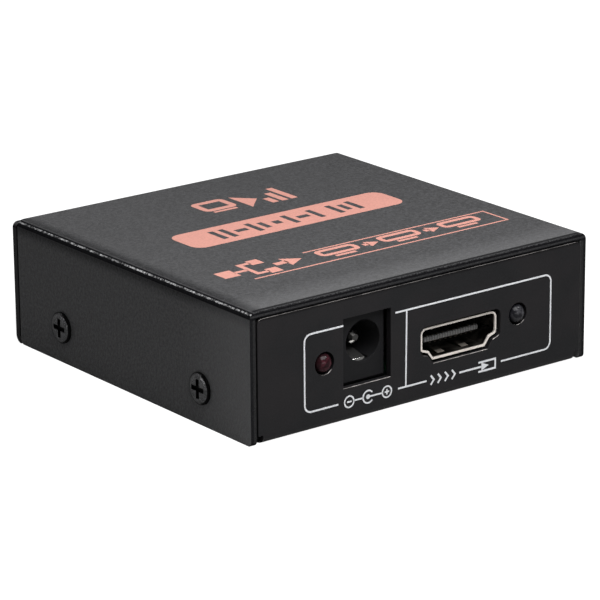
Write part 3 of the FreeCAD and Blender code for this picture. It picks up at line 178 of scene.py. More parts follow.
# Materials
def powder_coat():
    """Sandy black powder coat, with a broken line of wear along the bends that is partly a painted
    highlight, painted shade on and beside the bends, on the banded cut edges and behind the front edge, and
    paler painted light towards the front.
    """
    s = Shader("cover_coat")
    low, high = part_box("top_cover")
    black, fine_share = (0.006, 0.006, 0.007), 0.35
    fine = s.noise(0.22, detail=3.0, roughness=0.7)
    coarse = s.noise(0.48, roughness=0.6)
    sand = s.math("ADD", s.times(fine, fine_share), s.times(coarse, 1 - fine_share))
    base = s.mix(s.rise(sand, 0.36, 0.66), (0.033, 0.033, 0.0344), (0.072, 0.072, 0.0756))

    across = s.unsigned(s.facing("X"))
    flat_top = s.rise(s.facing("Z"), 0.93, 0.98)
    flat_side = s.rise(across, 0.98, 0.998)
    from_front = s.math("SUBTRACT", s.axis("Y"), low.y)
    from_left = s.math("SUBTRACT", s.axis("X"), low.x)
    below_top = s.math("SUBTRACT", high.z, s.axis("Z"))

    # The faces: paler towards the front in painted light, and darker beside the bends in painted shade
    lit_front_of_top = s.times(s.fall(from_front, 1.0 * MM, 8.0 * MM), flat_top)
    base = s.mix(s.times(lit_front_of_top, 0.3), base, (0.17, 0.17, 0.174))
    side_shade = s.fall(below_top, 1.0 * MM, 3.6 * MM)
    side_shade = s.times(side_shade, side_shade, flat_side)
    shade_beside_bend = s.most(s.times(s.fall(from_left, 0.8 * MM, 3.4 * MM), flat_top), side_shade)
    base = s.mix(s.times(shade_beside_bend, 0.6), base, black)
    # Painted light: the side paler towards the front
    lit_front_of_side = s.times(s.fall(from_front, 0.0, 18.0 * MM), flat_side)
    base = s.mix(s.times(lit_front_of_side, 0.58), base, (0.12, 0.12, 0.123))

    # The bends: black in painted shade, with a broken line of wear along their middle that is partly a
    # painted highlight
    near_top = s.fall(below_top, 1.2 * MM, 1.6 * MM)
    bend_shade = s.times(s.band(across, 0.22, 0.5, 0.985, 0.999), near_top)
    base = s.mix(s.times(bend_shade, 0.9), base, black)
    worn_line_and_highlight = s.times(s.band(across, 0.6, 0.68, 0.76, 0.82), near_top)
    specks = s.range(s.noise(0.6, detail=4.0, roughness=0.8), 0.44, 0.6, 0.06, 1.0)
    patches = s.range(s.noise(9.0), 0.35, 0.6, 0.5, 1.0)
    base = s.mix(s.times(worn_line_and_highlight, specks, patches), base, (0.68, 0.68, 0.69))

    # The cut edges: near black in painted shade, with a paler middle on the top, a paler inner half on the
    # sides, and chipped paint along the lip that is partly a painted highlight
    cut_face = s.rise(s.unsigned(s.facing("Y")), 0.5, 0.8)
    base = s.mix(cut_face, base, (0.008, 0.008, 0.009))
    middle = s.band(below_top, 0.45 * MM, 0.6 * MM, 0.75 * MM, 0.9 * MM)
    base = s.mix(s.times(cut_face, middle), base, (0.028, 0.028, 0.029))
    inner_half = s.fall(s.unsigned(s.axis("X")), high.x - 0.6 * MM, high.x - 0.45 * MM)
    on_side = s.rise(below_top, 1.1 * MM, 1.3 * MM)
    on_inner_side = s.times(cut_face, on_side, s.between(inner_half, 0.2, 1.0))
    base = s.mix(on_inner_side, base, (0.022, 0.022, 0.0225))
    lip = s.fall(below_top, 0.12 * MM, 0.26 * MM)
    chips_and_highlight = s.range(s.noise(0.4, detail=3.0, roughness=0.8), 0.42, 0.6, 0.15, 1.0)
    base = s.mix(s.times(cut_face, lip, chips_and_highlight, 0.8), base, (0.07, 0.07, 0.072))

    # Painted shade: a dark line just behind the front edge of the top
    edge_line_start = s.range(from_front, 0.02 * MM, 0.16 * MM, 0.35, 1.0)
    edge_line_shade = s.times(edge_line_start, s.fall(from_front, 0.7 * MM, 0.95 * MM), flat_top)
    base = s.mix(s.times(edge_line_shade, 0.9), base, black)

    height = s.math("ADD", s.times(fine, fine_share), coarse)
    s.set(Base_Color=base, Roughness=s.range(fine, 0.3, 0.8, 0.62, 0.48),
          Normal=s.bump(height, 0.13, 0.85, s.rounded(0.1)))
    s.shine(0.76, s.most(cut_face, bend_shade, s.times(shade_beside_bend, 0.75), s.times(edge_line_shade, 0.85)), smooth=False)
    return s.material


def satin_coat():
    """Smoother satin black coat of the tray and its panels, with a painted highlight, broken like wear, on
    the edges that face up.
    """
    s = Shader("tray_coat")
    low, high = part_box("base_tray")
    grain = s.noise(0.22, roughness=0.6)
    base = s.mix(s.rise(grain, 0.3, 0.7), (0.0044, 0.0044, 0.005), (0.0084, 0.0084, 0.0096))
    base = s.mix(s.range(s.noise(7.0), 0.3, 0.7, 0.0, 0.5), base, (0.012, 0.01, 0.011))

    # The edges of the end panels that face up: a painted highlight, broken into patches like wear, and less
    # at the very top
    reach = 0.22 * MM
    at_front = s.fall(s.axis("Y"), low.y + reach / 4, low.y + reach)
    at_rear = s.rise(s.axis("Y"), high.y - reach, high.y - reach / 4)
    facing_up = s.rise(s.facing("Z"), 0.6, 0.8)
    above_floor = s.rise(s.axis("Z"), 2.0 * MM, 2.5 * MM)
    patches = s.range(s.noise(1.8, detail=3.0), 0.38, 0.6, 0.3, 1.0)
    less_on_top = s.range(s.axis("Z"), 16 * MM, 18 * MM, 1.0, 0.35)
    wear_and_highlight = s.times(s.most(at_front, at_rear), facing_up, above_floor, patches, less_on_top)
    base = s.mix(wear_and_highlight, base, (0.68, 0.64, 0.62))

    # The shade at the top of the end panels, under the lips of the cover
    under_lip = s.rise(s.axis("Z"), high.z - 1.3 * MM, high.z - 0.3 * MM)
    shade = s.times(under_lip, s.fall(s.facing("Z"), 0.2, 0.5))
    base = s.mix(s.times(shade, 0.95), base, (0.001, 0.001, 0.001))
    s.set(Base_Color=base, Roughness=s.range(grain, 0.3, 0.7, 0.5, 0.42),
          Normal=s.bump(grain, 0.012, 0.5, s.rounded(0.08)))
    s.shine(0.28, shade, 0.05)
    return s.material


def ink(name, colour):
    """Screen-printed ink: nearly flat colour, darker where it lies thin."""
    s = Shader(name)
    thickness = s.noise(0.3, detail=3.0, roughness=0.7)
    s.set(Base_Color=s.mix(s.rise(thickness, 0.35, 0.6), scaled(colour, 0.86), colour), Roughness=0.55,
          Normal=s.bump(thickness, 0.01, 0.4))
    s.shine(0.9)
    return s.material


def black_screw():
    """Black oxide: greyer and speckled on the crown, with a painted highlight on the upper front of the rim,
    and dark in painted shade on the flanks, in the recess and along one rim.
    """
    s = Shader("black_screw")
    low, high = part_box("cover_screws")
    grain = s.noise(0.3, detail=4.0, roughness=0.75)
    base = s.mix(s.rise(grain, 0.42, 0.6), (0.012, 0.012, 0.013), (0.072, 0.072, 0.076))

    # Where a point lies on the head of its own screw: towards the front, above and away from the centre
    head = (high.z - low.z) / 2
    first, last = low.y + head, high.y - head
    on_rear_screw = s.math("GREATER_THAN", s.axis("Y"), (first + last) / 2)
    centre = s.math("ADD", s.times(on_rear_screw, last - first), first)
    ahead = s.math("SUBTRACT", centre, s.axis("Y"))
    above = s.math("SUBTRACT", s.axis("Z"), (low.z + high.z) / 2)
    radius = s.math("POWER", s.math("ADD", s.times(ahead, ahead), s.times(above, above)), 0.5)

    # Pale specks all over, most of them on the upper front part of the rim, where they are partly a painted
    # highlight
    up_and_ahead = s.math("ADD", s.times(ahead, 0.75), above)
    outer_part = s.rise(radius, head * 0.55, head * 0.66)
    rim_wear_and_highlight = s.times(outer_part, s.rise(up_and_ahead, head * 0.6, head * 0.95))
    specks = s.rise(s.noise(0.22, detail=3.0, roughness=0.8), 0.52, 0.64)
    base = s.mix(s.times(s.most(rim_wear_and_highlight, 0.2), specks), base, (0.68, 0.68, 0.69))

    # Painted shade: a dark crescent along one rim, and the flanks and the recess
    crescent = s.times(s.rise(radius, head * 0.84, head * 0.9), s.rise(ahead, 0.0, head * 0.35))
    flank = s.fall(s.unsigned(s.facing("X")), 0.8, 0.95)
    recess = s.fall(s.unsigned(s.axis("X")), high.x - 0.3 * MM, high.x - 0.15 * MM)
    dark = s.most(flank, recess, crescent)
    s.set(Base_Color=s.mix(dark, base, (0.002, 0.002, 0.002)), Metallic=0.1,
          Roughness=s.range(grain, 0.3, 0.7, 0.3, 0.45), Normal=s.bump(grain, 0.05, 0.9, s.rounded(0.06)))
    s.shine(0.9, dark, 0.04)
    return s.material


def jack_metal():
    """Nickel of the jack: bright on the leaf, and darker on the pin above it in painted shade."""
    s = Shader("nickel")
    grain = s.noise(0.25, detail=3.0, roughness=0.6)
    # Painted shade: the same nickel darker and rougher on the pin
    pin = s.rise(s.axis("Z"), 10.1 * MM, 10.35 * MM)
    s.set(Base_Color=s.mix(pin, (0.94, 0.93, 0.91), (0.1, 0.098, 0.095)),
          Metallic=s.between(pin, 0.97, 1.0), Roughness=s.between(pin, 0.16, 0.28),
          Normal=s.bump(grain, 0.006, 0.35, s.rounded(0.04)))
    return s.material


def metal(name, colour, rough, edge_mm=0.04):
    """Bare or plated metal with a fine grain and a slightly cloudy tone."""
    s = Shader(name)
    grain = s.noise(0.25, detail=3.0, roughness=0.6)
    cloud = s.rise(s.noise(2.2), 0.35, 0.65)
    s.set(Base_Color=s.mix(cloud, scaled(colour, 0.8), colour), Metallic=1.0,
          Roughness=s.range(grain, 0.3, 0.7, rough - 0.04, rough + 0.04),
          Normal=s.bump(grain, 0.006, 0.35, s.rounded(edge_mm)))
    return s.material


def socket_plating():
    """Pale plating that is bright at the mouth's rim, with painted glints on the fingers, and dark and less
    metallic inside in painted shade.
    """
    s = Shader("socket_plating")
    mouth = 30.1 * MM
    depth = s.unsigned(s.axis("Y"))
    # Painted shade: dark and less metallic inside the mouth
    inside = s.fall(depth, mouth - 0.42 * MM, mouth - 0.1 * MM)
    # Painted glints on the sloping front parts of the fingers
    sloping = s.band(s.unsigned(s.facing("Y")), 0.08, 0.14, 0.4, 0.6)
    near_mouth = s.rise(depth, mouth - 2.4 * MM, mouth - 1.9 * MM)
    finger_glint = s.times(sloping, s.rise(s.facing("Z"), 0.4, 0.6), near_mouth)
    base = s.mix(inside, (0.88, 0.82, 0.76), (0.018, 0.0156, 0.014))
    base = s.mix(s.times(inside, finger_glint), base, (0.94, 0.85, 0.76))
    base = s.mix(s.range(s.noise(2.2), 0.35, 0.65, 0.0, 0.25), base, (0.5, 0.45, 0.4))
    s.set(Base_Color=base, Metallic=s.between(inside, 0.4, 1.0), Roughness=s.between(inside, 0.3, 0.42),
          Normal=s.rounded(0.02))
    return s.material


def socket_block():
    """Black moulding whose tongue has fine pale ribs across its tip."""
    s = Shader("black_moulding")
    tip, pitch = 28.25 * MM, 0.5 * MM
    at_tip = s.rise(s.unsigned(s.axis("Y")), tip - 0.2 * MM, tip - 0.1 * MM)
    wave = s.math("SINE", s.times(s.axis("X"), 2 * math.pi / pitch))
    ribs = s.range(wave, -0.4, 0.6, 0.35, 1.0)
    base = s.mix(s.times(at_tip, ribs), (0.01, 0.01, 0.011), (0.15, 0.148, 0.146))
    s.set(Base_Color=base, Roughness=0.5, Normal=s.rounded(0.06))
    return s.material


def moulding(name, colour, rough, shine=0.5):
    """Moulded plastic or pressed ceramic with a fine grain."""
    s = Shader(name)
    grain = s.noise(0.12, detail=3.0, roughness=0.65)
    s.set(Base_Color=s.mix(s.rise(grain, 0.3, 0.7), colour, scaled(colour, 1.6)),
          Roughness=s.range(grain, 0.3, 0.7, rough - 0.05, rough + 0.06),
          Normal=s.bump(grain, 0.012, 0.5, s.rounded(0.08)))
    s.shine(shine)
    return s.material


def board_mask():
    """Green solder mask with faint tracks, darker in painted shade towards the board's front and rear edges.
    """
    s = Shader("board_laminate")
    tracks = s.add("ShaderNodeTexBrick", {
        "Vector": s.place, "Scale": 1 / (7 * MM), "Color1": (1, 1, 1, 1), "Color2": (0.7, 0.7, 0.7, 1),
        "Mortar": (0, 0, 0, 1), "Mortar Size": 0.035,
    }).outputs[0]
    base = s.mix(s.times(tracks, 0.35), (0.01, 0.072, 0.028), (0.018, 0.12, 0.044))
    base = s.mix(s.range(s.noise(0.6), 0.35, 0.65, 0.0, 0.4), base, (0.012, 0.09, 0.036))
    # Painted shade towards the end panels
    edge_shade = s.rise(s.unsigned(s.axis("Y")), 26.6 * MM, 27.8 * MM)
    base = s.mix(edge_shade, base, (0.004, 0.006, 0.0048))
    s.set(Base_Color=base, Roughness=0.32, Normal=s.bump(tracks, 0.02, 0.4, s.rounded(0.06)))
    return s.material


def lens(name, rim, heart):
    """Unlit tinted epoxy lamp, paler in painted light where it faces the front, and darker towards its sides
    in painted shade.
    """
    s = Shader(name)
    cloud = s.noise(0.9)
    # Painted light and shade: the heart colour where the dome faces the front, and the rim colour towards
    # its sides
    lens_lit_front = s.rise(s.unsigned(s.facing("Y")), 0.35, 0.9)
    base = s.mix(s.times(lens_lit_front, s.range(cloud, 0.4, 0.6, 0.15, 1.0)), rim, heart)
    s.set(Base_Color=base, Roughness=0.14, Normal=s.bump(cloud, 0.01, 0.2))
    s.shine(0.12)
    return s.material


salmon_ink = ink("salmon_ink", (0.72, 0.33, 0.268))
white_ink = ink("white_ink", (0.63, 0.64, 0.66))
SLOT_MATERIALS = {
    "cover_coat": powder_coat(),
    "tray_coat": satin_coat(),
    "black_screw": black_screw(),
    "plated_steel": metal("plated_steel", (0.6, 0.6, 0.6), 0.36),
    "board_laminate": board_mask(),
    "socket_plating": socket_plating(),
    "black_moulding": socket_block(),
    # The contacts: gold darkened to near black, a painted shade for their place inside the sockets
    "contact_gold": metal("contact_gold", (0.04, 0.035, 0.028), 0.6, edge_mm=0.03),
    "jack_moulding": moulding("jack_moulding", (0.0056, 0.0056, 0.0062), 0.6, shine=0.16),
    "nickel": jack_metal(),
    "red_lens": lens("red_lens", (0.01, 0.004, 0.005), (0.048, 0.0116, 0.017)),
    "clear_lens": lens("clear_lens", (0.006, 0.006, 0.008), (0.042, 0.042, 0.046)),
    "tinned_wire": metal("tinned_wire", (0.66, 0.66, 0.64), 0.4),
    "chip_moulding": moulding("chip_moulding", (0.012, 0.012, 0.013), 0.6),
    "ferrite": moulding("ferrite", (0.04, 0.04, 0.042), 0.65),
    "capacitor_can": metal("capacitor_can", (0.72, 0.72, 0.73), 0.3),
    "chip_ceramic": moulding("chip_ceramic", (0.2, 0.14, 0.09), 0.5),
}
for row in frame["record"]["subparts"]:
    mesh = NODES[row["node"]].data
    mesh.materials.clear()
    mesh.materials.append(SLOT_MATERIALS[row["material_slot"]])


# Printed marks: thin solids that lie on a panel, drawn in millimetres in the panel's own plane
INK_TOP = 0.012
INK_FOOT = -0.03
PINSTRIPE = 0.27
PINSTRIPE_CORNER = 1.15


class Panel:
    """A flat surface: a point on it, its two drawing directions and the way it faces."""

    def __init__(self, origin, across, up):
        self.origin = Vector(origin)
        self.across = Vector(across)
        self.up = Vector(up)
        self.out = self.across.cross(self.up)

    def spot(self, u, v, height):
        return (self.origin + self.across * u + self.up * v + self.out * height) * MM


class Print:
    """One printed layer on one panel, gathered into one mesh."""

    def __init__(self, name, panel, material):
        self.name, self.panel, self.material = name, panel, material
        self.bm = bmesh.new()

    def plate(self, outline):
        """A filled area inside a closed outline, listed anticlockwise as the panel is seen."""
        tops = [self.bm.verts.new(self.panel.spot(u, v, INK_TOP)) for u, v in outline]
        feet = [self.bm.verts.new(self.panel.spot(u, v, INK_FOOT)) for u, v in outline]
        self.bm.faces.new(tops)
        self.bm.faces.new(list(reversed(feet)))
        count = len(outline)
        for index in range(count):
            after = (index + 1) % count
            self.bm.faces.new((tops[index], feet[index], feet[after], tops[after]))

    def block(self, left, right, low, high):
        self.plate(corners(left, right, low, high))

    def wedge(self, back, tip, level, half):
        """A triangle that points from its upright back to its tip."""
        self.plate([(back, level - half), (tip, level), (back, level + half)])

    def disc(self, u, v, radius):
        self.plate(circle(u, v, radius, 28))

    def line(self, points, width, closed=False):
        """A stroke of even width along a path."""
        count = len(points)
        rails = []
        for index, here in enumerate(points):
            before = points[index - 1] if closed or index else None
            after = points[(index + 1) % count] if closed or index < count - 1 else None
            rails.append(self.rail(here, before, after, width))
        rows = [[self.bm.verts.new(self.panel.spot(*spot, height)) for spot, height in
                 ((left, INK_TOP), (right, INK_TOP), (right, INK_FOOT), (left, INK_FOOT))]
                for left, right in rails]
        runs = count if closed else count - 1
        for index in range(runs):
            here, there = rows[index], rows[(index + 1) % count]
            for side in range(4):
                other = (side + 1) % 4
                self.bm.faces.new((here[side], here[other], there[other], there[side]))
        if not closed:
            self.bm.faces.new(list(reversed(rows[0])))
            self.bm.faces.new(rows[-1])

    @staticmethod
    def rail(here, before, after, width):
        """The two edge points of a stroke beside one point of its path, mitred within a limit."""
        here = Vector(here)
        into = (here - Vector(before)).normalized() if before else None
        out = (Vector(after) - here).normalized() if after else None
        into, out = into or out, out or into
        normals = [Vector((-way.y, way.x)) for way in (into, out)]
        mitre = (normals[0] + normals[1]).normalized()
        reach = width / 2 / max(0.3, mitre.dot(normals[0]))
        return tuple(here + mitre * reach), tuple(here - mitre * reach)

    def dash(self, left, right, level, width):
        """A straight level stroke."""
        self.line([(left, level), (right, level)], width)

    def ring(self, u, v, radius, width):
        self.line(circle(u, v, radius, 32), width, closed=True)

    def pinstripe(self, points):
        """A thin line with rounded corners."""
        self.line(rounded(points, PINSTRIPE_CORNER, closed=False), PINSTRIPE)

    def finish(self):
        bmesh.ops.recalc_face_normals(self.bm, faces=self.bm.faces)
        mesh = bpy.data.meshes.new(self.name)
        self.bm.to_mesh(mesh)
        self.bm.free()
        add_print(self.name, mesh, self.material)


def add_print(name, mesh, material):
    """A finished mesh as a printed piece that rides the case."""
    mesh.materials.append(material)
    piece = bpy.data.objects.new(name, mesh)
    bpy.context.scene.collection.objects.link(piece)
    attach(piece, CASE)


def corners(left, right, low, high):
    """The corners of an upright rectangle, anticlockwise from the lower left."""
    return [(left, low), (right, low), (right, high), (left, high)]


def arc(u, v, radius, count, start, end):
    """Points along an arc, with both of its ends."""
    angles = [start + (end - start) * index / (count - 1) for index in range(count)]
    return [(u + radius * math.cos(angle), v + radius * math.sin(angle)) for angle in angles]


def circle(u, v, radius, count):
    return arc(u, v, radius, count + 1, 0.0, 2 * math.pi)[:-1]


def rounded(points, radius, closed=True):
    """A path through points, with an arc of the given radius at each one that turns."""
    steps = 7
    path = []
    count = len(points)
    for index, point in enumerate(points):
        if not closed and index in (0, count - 1):
            path.append(point)
            continue
        here = Vector(point)
        before = (Vector(points[index - 1]) - here).normalized()
        after = (Vector(points[(index + 1) % count]) - here).normalized()
        half = before.angle(after) / 2
        reach = radius / math.tan(half)
        centre = here + (before + after).normalized() * (radius / math.sin(half))
        start, end = here + before * reach - centre, here + after * reach - centre
        swing = start.angle_signed(end)
        for step in range(steps):
            angle = -swing * step / (steps - 1)
            path.append(tuple(centre + Matrix.Rotation(angle, 2) @ start))
    return path


tray_low, tray_high = (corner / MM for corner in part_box("base_tray"))
cover_low, cover_high = (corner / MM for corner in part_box("top_cover"))
FRONT_PANEL = Panel((0, tray_low.y, 0), (1, 0, 0), (0, 0, 1))
REAR_PANEL = Panel((0, tray_high.y, 0), (-1, 0, 0), (0, 0, 1))
TOP_PANEL = Panel((0, 0, cover_high.z), (1, 0, 0), (0, 1, 0))


def front_print():
    """The pin-stripe frame round the jack and the input socket, with plain symbols under them."""
    marks = Print("front_print", FRONT_PANEL, white_ink)
    left, right, low, high = -22.2, 24.6, 3.05, 14.8
    marks.pinstripe([(-15.15, high), (left, high), (left, low), (-16.1, low)])
    marks.pinstripe([(14.8, low), (right, low), (right, high), (-5.55, high)])
    marks.dash(-5.0, 0.4, low, PINSTRIPE)
    marks.line([(-3.55, low + PINSTRIPE / 2), (-3.4, high - PINSTRIPE / 2)], PINSTRIPE)
    polarity_symbol(marks, -10.6, low)
    input_symbol(marks, 7.6, low - 0.05)
    return marks


def polarity_symbol(marks, centre, level):
    """Plain centre-positive symbol: a minus in a ring, an open arc round a dot, and a plus in a ring."""
    spacing, ring, arm, stroke = 3.5, 0.85, 0.42, 0.24
    dot, open_ring, opening = 0.36, 0.95, math.radians(38)
    minus, plus = centre - spacing, centre + spacing
    for spot in (minus, plus):
        marks.ring(spot, level, ring, stroke)
        marks.dash(spot - arm, spot + arm, level, stroke)
    for way in (-1, 1):
        marks.line([(plus, level + way * stroke / 2), (plus, level + way * arm)], stroke)
    marks.disc(centre, level, dot)
    marks.line(arc(centre, level, open_ring, 20, opening, 2 * math.pi - opening), stroke)
    marks.dash(minus + ring, centre - open_ring, level, stroke)
    marks.dash(centre + dot, plus - ring, level, stroke)


def input_symbol(marks, centre, level):
    """Four chevrons and an arrow that runs into an open box."""
    stroke, half = 0.3, 0.72
    for step in range(4):
        tip = centre - 5.8 + step * 1.35
        marks.line([(tip - 0.6, level + half), (tip, level), (tip - 0.6, level - half)], stroke)
    marks.dash(centre - 0.9, centre + 3.5, level, stroke)
    marks.wedge(centre + 3.4, centre + 4.8, level, 0.62)
    left, right = centre + 2.8, centre + 6.1
    marks.line([(left, level + half), (right, level + half), (right, level - half), (left, level - half)],
               stroke)


def rear_print():
    """Pin-stripe frames round the two outputs, with plain arrows under them."""
    marks = Print("rear_print", REAR_PANEL, white_ink)
    left, right, low, high = -27.6, 27.6, 3.1, 15.05
    marks.pinstripe([(0, high), (left, high), (left, low), (-16.6, low)])
    marks.pinstripe([(16.6, low), (right, low), (right, high), (0, high)])
    marks.dash(-7.6, 7.6, low, PINSTRIPE)
    marks.line([(0, low + PINSTRIPE / 2), (0, high - PINSTRIPE / 2)], PINSTRIPE)
    for centre in (-12.0, 12.0):
        marks.dash(centre - 3.0, centre - 0.6, low, 0.3)
        marks.wedge(centre - 0.7, centre + 0.6, low, 0.62)
    return marks


def output_number(text, u):
    """A plain number printed on the rear panel, centred on the line of the arrows."""
    name = f"output_{text}_number"
    level, size = 3.1, 2.6
    curve = bpy.data.curves.new(name + "_curve", "FONT")
    curve.body = text
    curve.size = size * MM
    curve.align_x = "CENTER"
    curve.align_y = "CENTER"
    curve.extrude = (INK_TOP - INK_FOOT) / 2 * MM
    curve.resolution_u = 4
    holder = bpy.data.objects.new(name + "_holder", curve)
    bpy.context.scene.collection.objects.link(holder)
    bpy.context.view_layer.update()
    mesh = bpy.data.meshes.new_from_object(holder)
    bpy.data.objects.remove(holder)
    bpy.data.curves.remove(curve)
    turned = Matrix((REAR_PANEL.across, REAR_PANEL.up, REAR_PANEL.out)).transposed().to_4x4()
    turned.translation = REAR_PANEL.spot(u, level, (INK_TOP + INK_FOOT) / 2)
    mesh.transform(turned)
    mesh.name = name
    mesh.materials.clear()
    add_print(name, mesh, white_ink)


def screen(marks, left, right, low, high, width, foot):
    """A plain screen with a stand under it."""
    corner, foot_top, foot_bottom = 0.6, 0.35, 1.0
    marks.line(rounded(corners(left, right, low, high), corner), width, closed=True)
    centre, under = (left + right) / 2, low - width / 2
    marks.block(centre - foot / 2, centre + foot / 2, under - foot_bottom, under - foot_top)


def arrow(marks, left, right, level, width, head):
    """A level arrow, whose line runs a little way into its head."""
    marks.dash(left, right - head * 0.9, level, width)
    marks.wedge(right - head, right, level, head * 0.62)


def top_print():
    """Plain pictograms: screens, a triangle, rising bars, a bar with slots and a box with two screens."""
    marks = Print("top_print", TOP_PANEL, salmon_ink)
    screen(marks, -6.0, -0.9, 14.8, 18.7, 1.1, 4.4)
    marks.wedge(0.9, 4.1, 15.6, 3.3)
    for step, high in enumerate((14.9, 17.0, 19.1)):
        left = 4.7 + 1.85 * step
        marks.block(left, left + 1.2, 12.2, high)

    bar_with_slots(marks, -19.2, 21.2, -0.8, 7.2, 2.0)

    # The lower row: a rule round it, a box joined to two screens, and three screens with arrows between them
    lower_rule, upper_rule = -17.95, -12.1
    marks.line([(-21.4, lower_rule), (26.9, lower_rule), (26.9, upper_rule), (-8.2, upper_rule)], 0.34)
    upper, lower, stroke = -11.3, -16.1, 0.8
    marks.block(-24.7, -21.9, -15.3, -12.3)
    marks.dash(-22.0, -19.7, -13.8, stroke)
    marks.line([(-17.4, upper), (-19.4, upper), (-19.4, lower), (-17.4, lower)], stroke)
    for level in (upper, lower):
        marks.block(-17.6, -15.5, level - 1.05, level + 1.05)
    arrow(marks, -14.9, -9.9, -14.1, 1.2, 3.0)
    for left in (-6.6, 5.2, 17.0):
        screen(marks, left, left + 6.6, -15.2, -13.1, 0.85, 3.8)
    for left in (1.3, 13.1):
        arrow(marks, left, left + 2.9, -14.6, 0.95, 2.1)
    return marks


# Slots of the bar: where each starts, how wide it is and how tall, in shares of the bar's height
SLOTS = (
    (6.2, 1.0, 0.56), (8.1, 1.0, 0.56), (10.0, 2.2, 0.16), (13.0, 1.0, 0.56),
    (14.9, 1.0, 0.38), (17.2, 1.4, 0.2), (19.9, 1.0, 0.56), (21.8, 2.2, 0.16),
    (24.8, 1.0, 0.56), (28.6, 1.0, 0.56), (30.5, 1.0, 0.38), (32.4, 1.0, 0.56),
)


def bar_with_slots(marks, left, right, low, high, corner):
    """A filled rounded bar with a row of upright slots of differing sizes left open in it."""
    centre = (low + high) / 2
    slots = []
    for start, width, share in SLOTS:
        half = (high - low) * share / 2
        slots.append((left + start, left + start + width, centre - half, centre + half))

    outline = rounded(corners(left, right, low, high), corner)
    per = len(outline) // 4
    low_left, low_right, high_right, high_left = (outline[per * turn:per * (turn + 1)] for turn in range(4))
    first, last = slots[0][0], slots[-1][1]

    marks.plate([(first, low), (first, high)] + high_left + low_left)
    for here, there in zip(slots, slots[1:]):
        marks.block(here[1], there[0], low, high)
    for slot_left, slot_right, slot_low, slot_high in slots:
        marks.block(slot_left, slot_right, low, slot_low)
        marks.block(slot_left, slot_right, slot_high, high)
    marks.plate([(last, high), (last, low)] + low_right + high_right)


for layer in (front_print(), rear_print(), top_print()):
    layer.finish()
output_number("1", -9.8)
output_number("2", 14.2)


# Stage, light and camera
WORLD_LIGHT = 0.1
WHITE = (1, 1, 1, 1)


def stage_material(name, colour, glow):
    """A pale matt surface that the camera sees a little brighter than it is lit."""
    s = Shader(name)
    s.set(Base_Color=colour + (1.0,), Roughness=0.9)
    s.shine(0.0)
    path = s.add("ShaderNodeLightPath")
    seen = s.most(path.outputs["Is Camera Ray"], path.outputs["Is Transmission Ray"])
    total = s.add("ShaderNodeAddShader")
    s.feed(total.inputs[0], s.surface)
    s.feed(total.inputs[1], s.add("ShaderNodeEmission", {"Color": WHITE, "Strength": s.times(seen, glow)}))
    s.feed(s.output.inputs["Surface"], total)
    return s.material


def add_floor():
    mesh = bpy.data.meshes.new("studio_floor")
    half = 3.0
    mesh.from_pydata([(u, v, 0) for u, v in corners(-half, half, -half, half)], [], [(0, 1, 2, 3)])
    mesh.materials.append(stage_material("studio_floor", (0.28, 0.28, 0.28), 0.95))
    floor = bpy.data.objects.new("studio_floor", mesh)
    bpy.context.scene.collection.objects.link(floor)


def set_world():
    """Air that the camera sees as white and that lights the object only weakly."""
    world = bpy.data.worlds.new("studio_air")
    bpy.context.scene.world = world
    world.use_nodes = True
    tree = world.node_tree
    tree.nodes.clear()
    output = tree.nodes.new("ShaderNodeOutputWorld")
    path = tree.nodes.new("ShaderNodeLightPath")
    either = tree.nodes.new("ShaderNodeMath")
    either.operation = "MAXIMUM"
    tree.links.new(path.outputs["Is Camera Ray"], either.inputs[0])
    tree.links.new(path.outputs["Is Transmission Ray"], either.inputs[1])
    blend = tree.nodes.new("ShaderNodeMixShader")
    tree.links.new(either.outputs[0], blend.inputs[0])
    for socket, strength in ((1, WORLD_LIGHT), (2, 1.0)):
        air = tree.nodes.new("ShaderNodeBackground")
        air.inputs["Color"].default_value = WHITE
        air.inputs["Strength"].default_value = strength
        tree.links.new(air.outputs[0], blend.inputs[socket])
    tree.links.new(blend.outputs[0], output.inputs["Surface"])


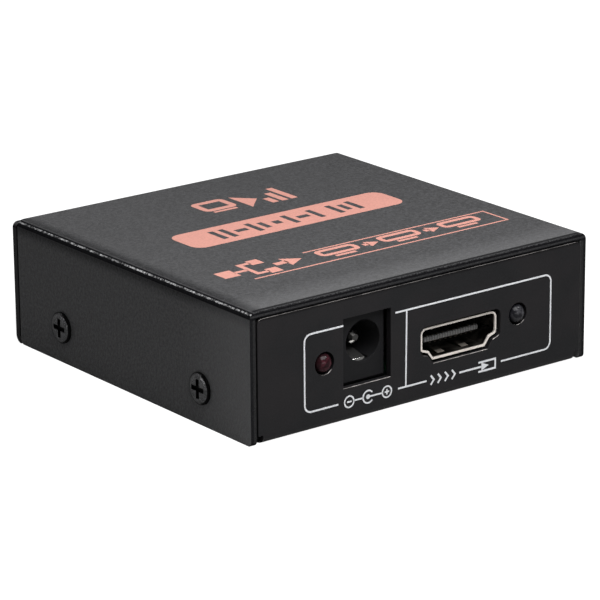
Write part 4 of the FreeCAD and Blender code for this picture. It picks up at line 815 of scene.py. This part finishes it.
def add_area(name, place, aim, size, power):
    """A rectangular lamp that points from its place at its aim."""
    data = bpy.data.lights.new(name, "AREA")
    data.shape = "RECTANGLE"
    data.size, data.size_y = size
    data.energy = power
    lamp = bpy.data.objects.new(name, data)
    lamp.location = place
    lamp.rotation_euler = (Vector(aim) - Vector(place)).to_track_quat("-Z", "Y").to_euler()
    bpy.context.scene.collection.objects.link(lamp)


# The camera as fitted to the photo: angles in degrees, lengths in millimetres, the rest in pixels
CAMERA_AZIMUTH = 37.423
CAMERA_ELEVATION = 17.765
CAMERA_ROLL = 0.469
CAMERA_DISTANCE = 502.43
AIM = (0.148, -0.475, 8.104)
FOCAL_PIXELS = 3274.25
PICTURE_PIXELS = 600


def add_camera():
    data = bpy.data.cameras.new("camera")
    data.sensor_width = 36.0
    data.lens = FOCAL_PIXELS * data.sensor_width / PICTURE_PIXELS
    data.clip_start, data.clip_end = 0.01, 20.0
    camera = bpy.data.objects.new("camera", data)
    azimuth, elevation = math.radians(CAMERA_AZIMUTH), math.radians(CAMERA_ELEVATION)
    back = Vector((-math.sin(azimuth) * math.cos(elevation), -math.cos(azimuth) * math.cos(elevation),
                   math.sin(elevation)))
    right = (-back).cross(Vector((0, 0, 1))).normalized()
    down = (-back).cross(right)
    roll = math.radians(CAMERA_ROLL)
    turned_right = right * math.cos(roll) + down * math.sin(roll)
    turned_down = down * math.cos(roll) - right * math.sin(roll)
    axes = Matrix((turned_right, -turned_down, back)).transposed().to_4x4()
    axes.translation = (Vector(AIM) + back * CAMERA_DISTANCE) * MM
    camera.matrix_world = axes
    bpy.context.scene.collection.objects.link(camera)
    bpy.context.scene.camera = camera


add_floor()
set_world()
add_area("key", (-0.015, -0.12, 0.17), (0, -0.01, 0.01), (0.16, 0.12), 0.5)
add_area("glint", (0.25, -0.165, 0.35), (-0.01, -0.028, 0.009), (0.085, 0.085), 0.55)
add_area("fill", (-0.08, -0.42, 0.06), (0, 0, 0.01), (0.3, 0.1), 0.35)
add_area("rear_fill", (0.03, 0.38, 0.03), (0, 0, 0.01), (0.12, 0.05), 0.3)
add_area("back", (-0.10, 0.50, 0.40), (0, 0, 0.01), (0.6, 0.4), 0.85)
add_camera()
bpy.context.scene.view_settings.view_transform = "Standard"
